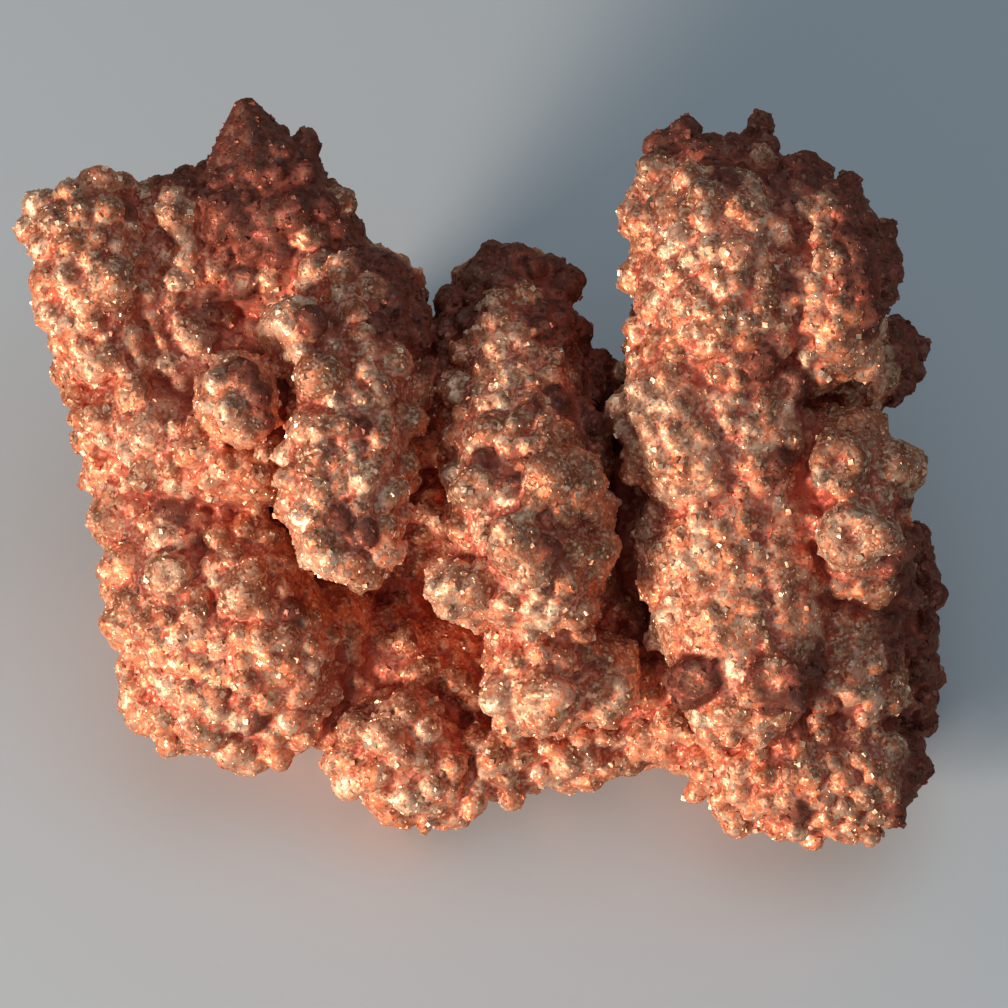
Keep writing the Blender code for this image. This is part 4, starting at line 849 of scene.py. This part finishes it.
def crystal_tree(name, material, crystal, values):
    """Strews crystals over a finished skin, points outward, each with its own turn, lean and size."""
    tree, start, end = new_tree(name, values)
    height = part_of(tree, add_node(tree, "GeometryNodeInputPosition").outputs[0], "Z")
    clear = maths(tree, "GREATER_THAN", height, start.outputs["Floor"])
    hollow = add_node(tree, "GeometryNodeInputNamedAttribute", {"Name": "hollow"}, data_type="FLOAT")
    where = times(tree, clear, maths(tree, "LESS_THAN", hollow.outputs[0], HOLLOW_LIMIT))
    points, sunk = strewn_points(tree, start, where, start.outputs["Density"])
    picked = add_node(tree, "GeometryNodeStoreNamedAttribute", {
        "Geometry": sunk, "Name": "grain", "Value": random_value(tree, "FLOAT", 0.05, 1.0, start, 3),
    }, data_type="FLOAT", domain="POINT")
    lean = vectors(tree, "SCALE", (1.0, 1.0, 0.0), Scale=start.outputs["Lean"])
    least = vectors(tree, "MULTIPLY_ADD", lean, (-1.0, -1.0, 0.0), (0.0, 0.0, -3.14))
    most = vectors(tree, "ADD", lean, (0.0, 0.0, 3.14))
    angles = random_value(tree, "FLOAT_VECTOR", least, most, start, 1)
    turn = add_node(tree, "FunctionNodeRotateRotation", {
        "Rotation": points.outputs["Rotation"],
        "Rotate By": add_node(tree, "FunctionNodeEulerToRotation", {0: angles}).outputs[0],
    }, rotation_space="LOCAL").outputs[0]
    size = random_value(tree, "FLOAT", start.outputs["Smallest"], start.outputs["Largest"], start, 2)
    grains = add_node(tree, "GeometryNodeInstanceOnPoints", {
        "Points": picked.outputs[0], "Instance": crystal(tree), "Rotation": turn, "Scale": size,
    })
    return end_tree(tree, end, grains.outputs[0], material)


# ---------------------------------------------------------------- skin


def keep_outer_shell(mesh):
    """Removes every closed shell of the mesh but the largest."""
    body = bmesh.new()
    body.from_mesh(mesh)
    body.verts.ensure_lookup_table()
    unseen, shells = set(body.verts), []
    while unseen:
        shell, front = set(), [unseen.pop()]
        while front:
            vert = front.pop()
            shell.add(vert)
            for edge in vert.link_edges:
                other = edge.other_vert(vert)
                if other in unseen:
                    unseen.remove(other)
                    front.append(other)
        shells.append(shell)
    shells.sort(key=len)
    for shell in shells[:-1]:
        bmesh.ops.delete(body, geom=list(shell), context="VERTS")
    body.to_mesh(mesh)
    body.free()


def smoothed(values, edges, rounds):
    """The values after rounds of averaging along the edges."""
    first, second = edges.T
    share = np.bincount(edges.ravel(), minlength=len(values)) + 1.0
    for _ in range(rounds):
        total = values.copy()
        for column in range(values.shape[1]):
            total[:, column] += np.bincount(first, values[second, column], len(values))
            total[:, column] += np.bincount(second, values[first, column], len(values))
        values = total / share[:, None]
    return values


def hollowness(mesh, rounds):
    """How far each point lies under the smoothed surface, in millimetres: positive in a hollow."""
    points = read_points(mesh)
    smooth = smoothed(points, read(mesh.edges, "vertices", 2, np.int32), rounds)
    return ((smooth - points) * read(mesh.vertex_normals, "vector", 3)).sum(axis=1)


def shaded_dark_spots():
    """The dark places that are not buds, painted shade with some dark tarnish, in the columns of the seated
    buds.
    """
    rows = np.zeros((len(SHADED_DARK_SPOTS), COLUMNS))
    rows[:, :DARK_AT] = SHADED_DARK_SPOTS
    rows[:, [DARK_AT, TONE, LUCK]] = 1.0, 0.5, 1.0
    return rows


def bud_traits(points, buds):
    """The traits at each point from the bud whose surface is nearest, its tone, and how far it is capped; the
    cap is tarnish and painted shade on the bud's side away from the key.
    """
    shade_side_way = SHADE_CAP_WAY / np.linalg.norm(SHADE_CAP_WAY)
    found = np.zeros((len(points), len(TRAITS) + 2))
    for begin in range(0, len(points), BLOCK):
        block = points[begin:begin + BLOCK]
        gap = np.linalg.norm(block[:, None] - buds[None, :, :3], axis=2) - buds[None, :, RADIUS]
        nearest = buds[gap.argmin(axis=1)]
        reach = (1.0 - (gap.min(axis=1) - TRAIT_FULL) / TRAIT_FADE).clip(0, 1)[:, None]
        out = block - nearest[:, :3]
        length = np.linalg.norm(out, axis=1).clip(min=1e-6)
        # The cap is tarnish and painted shade on the side of each bud that faces away from the key; on ring
        # buds it is a dark ring round the pit instead.
        cap = (((out @ shade_side_way) / length - CAP_START) / (CAP_END - CAP_START)).clip(0, 1)
        cap *= nearest[:, LUCK] < CAP_SHARE
        slope = np.arccos((out @ PIT_WAY / length).clip(-1, 1))
        ringed = nearest[:, PIT] > 0
        cap = np.maximum(cap * ~ringed, ringed * hump(slope, RING_SLOPE, RING_WIDTH))
        marks = nearest[:, DARK_AT:PIT].copy()
        marks[:, 0] *= 1.0 - PIT_LIGHT * ringed * hump(slope, 0.0, PIT_SLOPE, power=4)
        found[begin:begin + BLOCK] = np.column_stack([marks, nearest[:, TONE] - 0.5, cap]) * reach
    return found


def store(mesh, name, values):
    """Keeps one number for each point of the mesh."""
    layer = mesh.attributes.new(name, "FLOAT", "POINT")
    layer.data.foreach_set("value", np.asarray(values, np.float32))


def standing():
    """The move from the face frame, in millimetres, to the standing nugget, in metres."""
    stood = Matrix.Translation((CENTRE[0], CENTRE[1], STAND)) @ Matrix.Rotation(LEAN, 4, "X")
    return Matrix.Scale(MM, 4) @ stood


def stand_up(mesh):
    """Moves the mesh from the face frame to where the nugget stands, worn flat at the floor."""
    mesh.transform(standing())
    points = read_points(mesh)
    points[:, 2] = points[:, 2].clip(min=0.0)
    mesh.vertices.foreach_set("co", points.astype(np.float32).ravel())
    mesh.update()


def make_skin(material):
    """The nugget's skin in the face frame, and the buds of its broad face."""
    picks = np.random.default_rng(SEED)
    rock_ball, bud_ball = unit_ball(3), unit_ball(4)
    heap = Heap()
    add_fingers(heap, rock_ball)
    add_peak(heap)
    body = grown_together(heap.mesh("fingers"), ROCK_VOXEL)
    add_rocks(heap, rock_ball, body)
    add_feet(heap, rock_ball)
    buds = add_face_buds(heap, bud_ball, picks)
    budded = grown_together(heap.mesh("buds"), SKIN_VOXEL)
    young = young_bud_tree(material)
    add_young_buds(heap, budded, buds, young, YOUNG_FRONT)
    add_young_buds(heap, budded, buds, young, YOUNG_BACK)
    crusted = grown_together(heap.mesh("growth"), CRUST_VOXEL, crust_tree(material), CRUST)
    thin = new_object("thin", crusted)
    add_modifier(thin, "DECIMATE", ratio=SKIN_TRIANGLES / (2 * len(crusted.polygons)))
    skin = applied(thin)
    keep_outer_shell(skin)
    return skin, buds


def make_nugget(material):
    """The nugget as one piece that stands for the CAD's solid."""
    mesh, buds = make_skin(material)
    traits = bud_traits(read_points(mesh), np.vstack([buds, shaded_dark_spots()]))
    for name, column in zip((*TRAITS, "tone", "cap"), traits.T):
        store(mesh, name, column)
    store(mesh, "hollow", hollowness(mesh, SEAM_ROUNDS) / SEAM_DEPTH)
    store(mesh, "deep", hollowness(mesh, RECESS_ROUNDS) / RECESS_DEPTH)
    stand_up(mesh)
    mesh.name = "nugget_skin"
    mesh.shade_smooth()
    nugget = new_object("nugget_skin", mesh)
    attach(nugget, "root")
    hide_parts(NODE)
    return nugget


# ---------------------------------------------------------------- material


SALMON = (0.92, 0.285, 0.135, 1.0)
PALE = (0.96, 0.56, 0.365, 1.0)
# Pale gold for pale buds, and for the painted highlights, glints and crystal shine.
BRIGHT_HIGHLIGHT = (0.97, 0.74, 0.50, 1.0)
# Painted shade and inter-reflection in the seams between buds.
SEAM_SHADE_RED = (0.50, 0.11, 0.068, 1.0)
ORANGE = (0.60, 0.19, 0.085, 1.0)
OLIVE = (0.26, 0.10, 0.05, 1.0)
BROWN = (0.25, 0.065, 0.034, 1.0)
# Dark tarnish, and painted shade on the parts that face away from the key.
DARK_TARNISH_AND_SHADE = (0.12, 0.036, 0.028, 1.0)
# Fine crystals on the dark tarnish and painted shade.
DARK_GRAIN = (0.26, 0.095, 0.07, 1.0)
# Painted shade in recesses and at the rims of the crystal faces.
RECESS_SHADE = (0.36, 0.072, 0.045, 1.0)
FACET = 0.42                   # sizes in millimetres: of a crystal face,
FLAKE = 0.13                   # of the tiny faces it is broken into,
GRIT, GRIT_DEPTH = 0.1, 0.02   # of the grit on them,
PATCH = 2.4                    # of an olive patch,
CLOUD = 0.5                    # and of a duller or glossier place
FACET_TILT, FLAKE_TILT = 0.54, 0.32
SEAM_ROUNDS, SEAM_DEPTH = 12, 0.12       # rounds of smoothing that find a seam, and the depth of a full one
RECESS_ROUNDS, RECESS_DEPTH = 120, 0.6   # and the same for a recess


def trait(tree, label):
    """One of the numbers kept at the skin's points."""
    return add_node(tree, "ShaderNodeAttribute", attribute_name=label).outputs["Fac"]


def mix(tree, share, first, second):
    """Two colours mixed, by the second one's share."""
    return add_node(tree, "ShaderNodeMix", {0: share, 6: first, 7: second}, data_type="RGBA").outputs[2]


def line(tree, value, gain, start, clamp=False):
    """A start plus a value times its gain."""
    return maths(tree, "MULTIPLY_ADD", value, gain, start, clamp=clamp)


def steep(tree, value, middle, gain):
    """A value stretched about its middle, and kept from 0 to 1."""
    return line(tree, value, gain, 0.5 - middle * gain, clamp=True)


def noise(tree, place, size, detail=3.0):
    """Soft noise whose lumps have a size in millimetres."""
    return add_node(tree, "ShaderNodeTexNoise", {
        "Vector": place, "Scale": 1.0 / (size * MM), "Detail": detail,
    }).outputs[0]


def flat_cells(tree, place, size):
    """Cells of a size in millimetres: each one's random colour, and the distance from its middle."""
    return add_node(tree, "ShaderNodeTexVoronoi", {"Vector": place, "Scale": 1.0 / (size * MM)}).outputs


def fresh_copper(tree, speckle):
    """Salmon and pale crystal faces, with bright buds and orange ones; the bright buds are partly painted
    highlights.
    """
    flake = line(tree, trait(tree, "tone"), 0.5, speckle)
    colour = mix(tree, steep(tree, flake, 0.7, 2.4), SALMON, PALE)
    colour = mix(tree, times(tree, trait(tree, "bright"), 0.6), colour, BRIGHT_HIGHLIGHT)
    return mix(tree, times(tree, trait(tree, "blush"), 0.85), colour, ORANGE)


def tarnished_and_shaded(tree, colour, speckle, patches):
    """The colour under olive patches, brown caps and dark buds, and how far each place is tarnished and
    shaded. The caps and the dark buds are partly painted shade on parts facing away from the key.
    """
    olive = line(tree, patches, 0.45, trait(tree, "olive"), clamp=True)
    olive = times(tree, olive, line(tree, speckle, -0.5, 1.0))
    # The caps add painted shade, like olive tarnish, on each bud's side away from the key.
    olive = maths(tree, "MAXIMUM", olive, times(tree, trait(tree, "cap"), 0.9))
    dark = times(tree, trait(tree, "dark"), line(tree, speckle, -0.15, 1.0))
    colour = mix(tree, dark, mix(tree, olive, colour, OLIVE), DARK_TARNISH_AND_SHADE)
    return colour, maths(tree, "MAXIMUM", olive, dark)


def with_seam_shade(tree, colour, facet_edge_shade, deep):
    """The colour with painted shade: red seams for the shade and inter-reflection in them, darker recesses
    and rims of the faces; and how far each place is a seam.
    """
    seam_shade = line(tree, trait(tree, "hollow"), 2.2, -0.15, clamp=True)
    seam_shade = line(tree, deep, 0.5, seam_shade, clamp=True)
    seam_shade = times(tree, seam_shade, line(tree, trait(tree, "dark"), -0.6, 0.9))
    # Painted shade: red in the seams, darker in recesses and at the rims of the faces.
    colour = mix(tree, seam_shade, colour, SEAM_SHADE_RED)
    colour = mix(tree, line(tree, deep, 0.9, -0.25, clamp=True), colour, RECESS_SHADE)
    return mix(tree, times(tree, facet_edge_shade, 0.3), colour, RECESS_SHADE), seam_shade


def flecked(tree, colour, shades, deep):
    """The colour with brown flecks, and bright ones that are painted glints, fewer on dark buds and in
    recesses.
    """
    lit = line(tree, maths(tree, "MAXIMUM", trait(tree, "dark"), deep), -0.35, 0.4, clamp=True)
    colour = mix(tree, times(tree, steep(tree, shades["Z"], 0.7, 3.0), 0.5), colour, BROWN)
    # Bright flecks are painted glints, fewer where the copper is shaded.
    return mix(tree, times(tree, steep(tree, shades["X"], 0.75, 3.0), lit), colour, BRIGHT_HIGHLIGHT)


def crystalled(tree, colour, seam_shade, grain):
    """The colour with the fine crystals' own: bright with a painted glint, or dull where the copper is dark,
    and less bright in the seams as painted shade.
    """
    # The crystals' shine, a painted glint, dims in the seams as painted shade.
    shine = times(tree, steep(tree, grain, 0.5, 1.6), line(tree, seam_shade, -0.5, 0.58))
    shine = times(tree, shine, line(tree, trait(tree, "blush"), -0.4, 1.0))
    return mix(tree, shine, colour, mix(tree, trait(tree, "dark"), BRIGHT_HIGHLIGHT, DARK_GRAIN))


def satin(tree, place, tarnish_and_shade, shades, grain):
    """The roughness: duller under the tarnish and the painted shade of caps and dark buds, glossier on some
    flakes and on the fine crystals.
    """
    rough = line(tree, noise(tree, place, CLOUD), 0.3, 0.40)
    rough = line(tree, tarnish_and_shade, 0.1, rough)
    flash = maths(tree, "GREATER_THAN", shades["Y"], 0.86)
    return line(tree, maths(tree, "MAXIMUM", flash, steep(tree, grain, 0.4, 2.0)), -0.2, rough)


def sparkle(tree, place, facets, flakes):
    """The normal of a surface broken into crystal faces and flakes, with grit on them."""
    both = vectors(tree, "MULTIPLY_ADD", facets["Color"], (FACET_TILT,) * 3,
                   vectors(tree, "SCALE", flakes["Color"], Scale=FLAKE_TILT))
    tilt = vectors(tree, "SUBTRACT", both, ((FACET_TILT + FLAKE_TILT) / 2,) * 3)
    grit = add_node(tree, "ShaderNodeBump", {
        "Strength": 0.5, "Distance": GRIT_DEPTH * MM, "Height": noise(tree, place, GRIT, 2.0),
    })
    return vectors(tree, "NORMALIZE", vectors(tree, "ADD", grit.outputs[0], tilt))


def copper_material(name):
    """Native copper: salmon metal, pale crystals, brown caps, red seams and dark tarnish, with painted shade
    in the seams, recesses, caps and dark buds, and painted highlights and glints.
    """
    made = bpy.data.materials.new(name)
    made.use_nodes = True
    tree = made.node_tree
    shader = tree.nodes["Principled BSDF"]
    shader.inputs["Metallic"].default_value = 0.65
    shader.inputs["Specular IOR Level"].default_value = 0.15
    shader.inputs["Specular Tint"].default_value = (1.0, 0.72, 0.55, 1.0)
    place = add_node(tree, "ShaderNodeTexCoord").outputs["Object"]
    facets, flakes = flat_cells(tree, place, FACET), flat_cells(tree, place, FLAKE)
    speckle = part_of(tree, facets["Color"], "X")
    shades = add_node(tree, "ShaderNodeSeparateXYZ", {0: flakes["Color"]}).outputs
    patches = steep(tree, noise(tree, place, PATCH), 0.52, 5.0)
    # Painted shade at the rims of the crystal faces.
    facet_edge_shade = steep(tree, facets["Distance"], 0.56, 4.0)
    grain, deep = trait(tree, "grain"), trait(tree, "deep")
    colour, tarnish_and_shade = tarnished_and_shaded(tree, fresh_copper(tree, speckle), speckle, patches)
    colour, seam_shade = with_seam_shade(tree, colour, facet_edge_shade, deep)
    colour = crystalled(tree, flecked(tree, colour, shades, deep), seam_shade, grain)
    tree.links.new(colour, shader.inputs["Base Color"])
    tree.links.new(satin(tree, place, tarnish_and_shade, shades, grain), shader.inputs["Roughness"])
    tree.links.new(sparkle(tree, place, facets, flakes), shader.inputs["Normal"])
    return made


# ---------------------------------------------------------------- fine crystals


def make_grains(nugget, name, tree, values):
    """One strewing of fine crystals over the skin."""
    mesh = nugget.data.copy()
    mesh.transform(Matrix.Scale(1 / MM, 4))
    host = new_object("host", mesh)
    use_tree(host, tree, values)
    strewn = applied(host)
    strewn.transform(Matrix.Scale(MM, 4))
    strewn.name = name
    strewn.shade_flat()
    grains = new_object(name, strewn)
    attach(grains, "root")


def make_layers(nugget, material, name, crystal, values, layers):
    """Several strewings of one sort of crystal, each with a seed of its own."""
    tree = crystal_tree(name, material, crystal, values)
    for layer in range(layers):
        make_grains(nugget, f"{name}_{layer + 1}", tree, {**values, "Seed": values["Seed"] + layer})


# ---------------------------------------------------------------- stage


VIEW_HEIGHT = math.radians(60.0)    # the camera's angle above the horizon
VIEW_CENTRE = (0.907, -1.231, 8.0)  # what it looks at, in the face frame
VIEW_WIDTH = 43.54                  # width of the view there, in millimetres
VIEW_REACH = 700.0                  # how far off the camera stands
SENSOR = 36.0                       # width of the film, in millimetres

FLOOR_COLOUR = (0.494, 0.518, 0.531, 1.0)
FLOOR_REACH = 2.0                   # from the middle to each side, in metres
AIR_COLOUR = (0.135, 0.186, 0.224, 1.0)
KEY_TARGET = Vector((0.0, 0.0, 9.0))
KEY_WAY = Vector((-0.719, -0.695, 0.287))   # from its target to the key lamp
KEY_REACH = 350.0


def make_floor():
    """A plain pale floor with a slight satin."""
    mesh = bpy.data.meshes.new("floor")
    plane = bmesh.new()
    bmesh.ops.create_grid(plane, x_segments=1, y_segments=1, size=FLOOR_REACH)
    plane.to_mesh(mesh)
    plane.free()
    floor = new_object("floor", mesh)
    made = bpy.data.materials.new("pale_floor")
    made.use_nodes = True
    shader = made.node_tree.nodes["Principled BSDF"]
    shader.inputs["Base Color"].default_value = FLOOR_COLOUR
    shader.inputs["Roughness"].default_value = 0.5
    mesh.materials.append(made)


def make_camera():
    """A long lens square to the broad face."""
    lens = bpy.data.cameras.new("camera")
    lens.sensor_width = SENSOR
    lens.lens = SENSOR * VIEW_REACH / VIEW_WIDTH
    lens.clip_start, lens.clip_end = 0.01, 20.0
    camera = new_object("camera", lens)
    target = standing() @ Vector(VIEW_CENTRE)
    back = Vector((0.0, -math.cos(VIEW_HEIGHT), math.sin(VIEW_HEIGHT)))
    camera.location = target + back * VIEW_REACH * MM
    camera.rotation_euler = (math.radians(90.0) - VIEW_HEIGHT, 0.0, 0.0)
    bpy.context.scene.camera = camera


def add_lamp(name, place, target, colour, power, size):
    """A square lamp at a place, in millimetres, aimed at another."""
    data = bpy.data.lights.new(name, "AREA")
    data.color = colour
    data.energy = power
    data.size = size * MM
    lamp = new_object(name, data)
    lamp.location = Vector(place) * MM
    lamp.rotation_euler = (Vector(target) - Vector(place)).to_track_quat("-Z", "Y").to_euler()
    lamp.visible_camera = False


def make_lights():
    """A low warm key from the left front and a cool fill from above and behind, right."""
    add_lamp("key", KEY_TARGET + KEY_WAY.normalized() * KEY_REACH, KEY_TARGET,
             colour=(1.0, 0.87, 0.75), power=1.93, size=80.0)
    add_lamp("fill", (80.0, 20.0, 400.0), (0.0, 0.0, 8.0), colour=(0.84, 0.92, 1.0), power=0.43, size=400.0)
    world = bpy.data.worlds.new("world")
    world.use_nodes = True
    world.node_tree.nodes["Background"].inputs[0].default_value = AIR_COLOUR
    bpy.context.scene.world = world
    bpy.context.scene.view_settings.view_transform = "Standard"


def main():
    """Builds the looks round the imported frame."""
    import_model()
    make_camera()
    make_floor()
    make_lights()
    copper = copper_material("native_copper")
    nugget = make_nugget(copper)
    make_layers(nugget, copper, "sugar", sugar_point, SUGAR, SUGAR_LAYERS)
    make_layers(nugget, copper, "cubes", small_cube, CUBES, CUBE_LAYERS)


main()
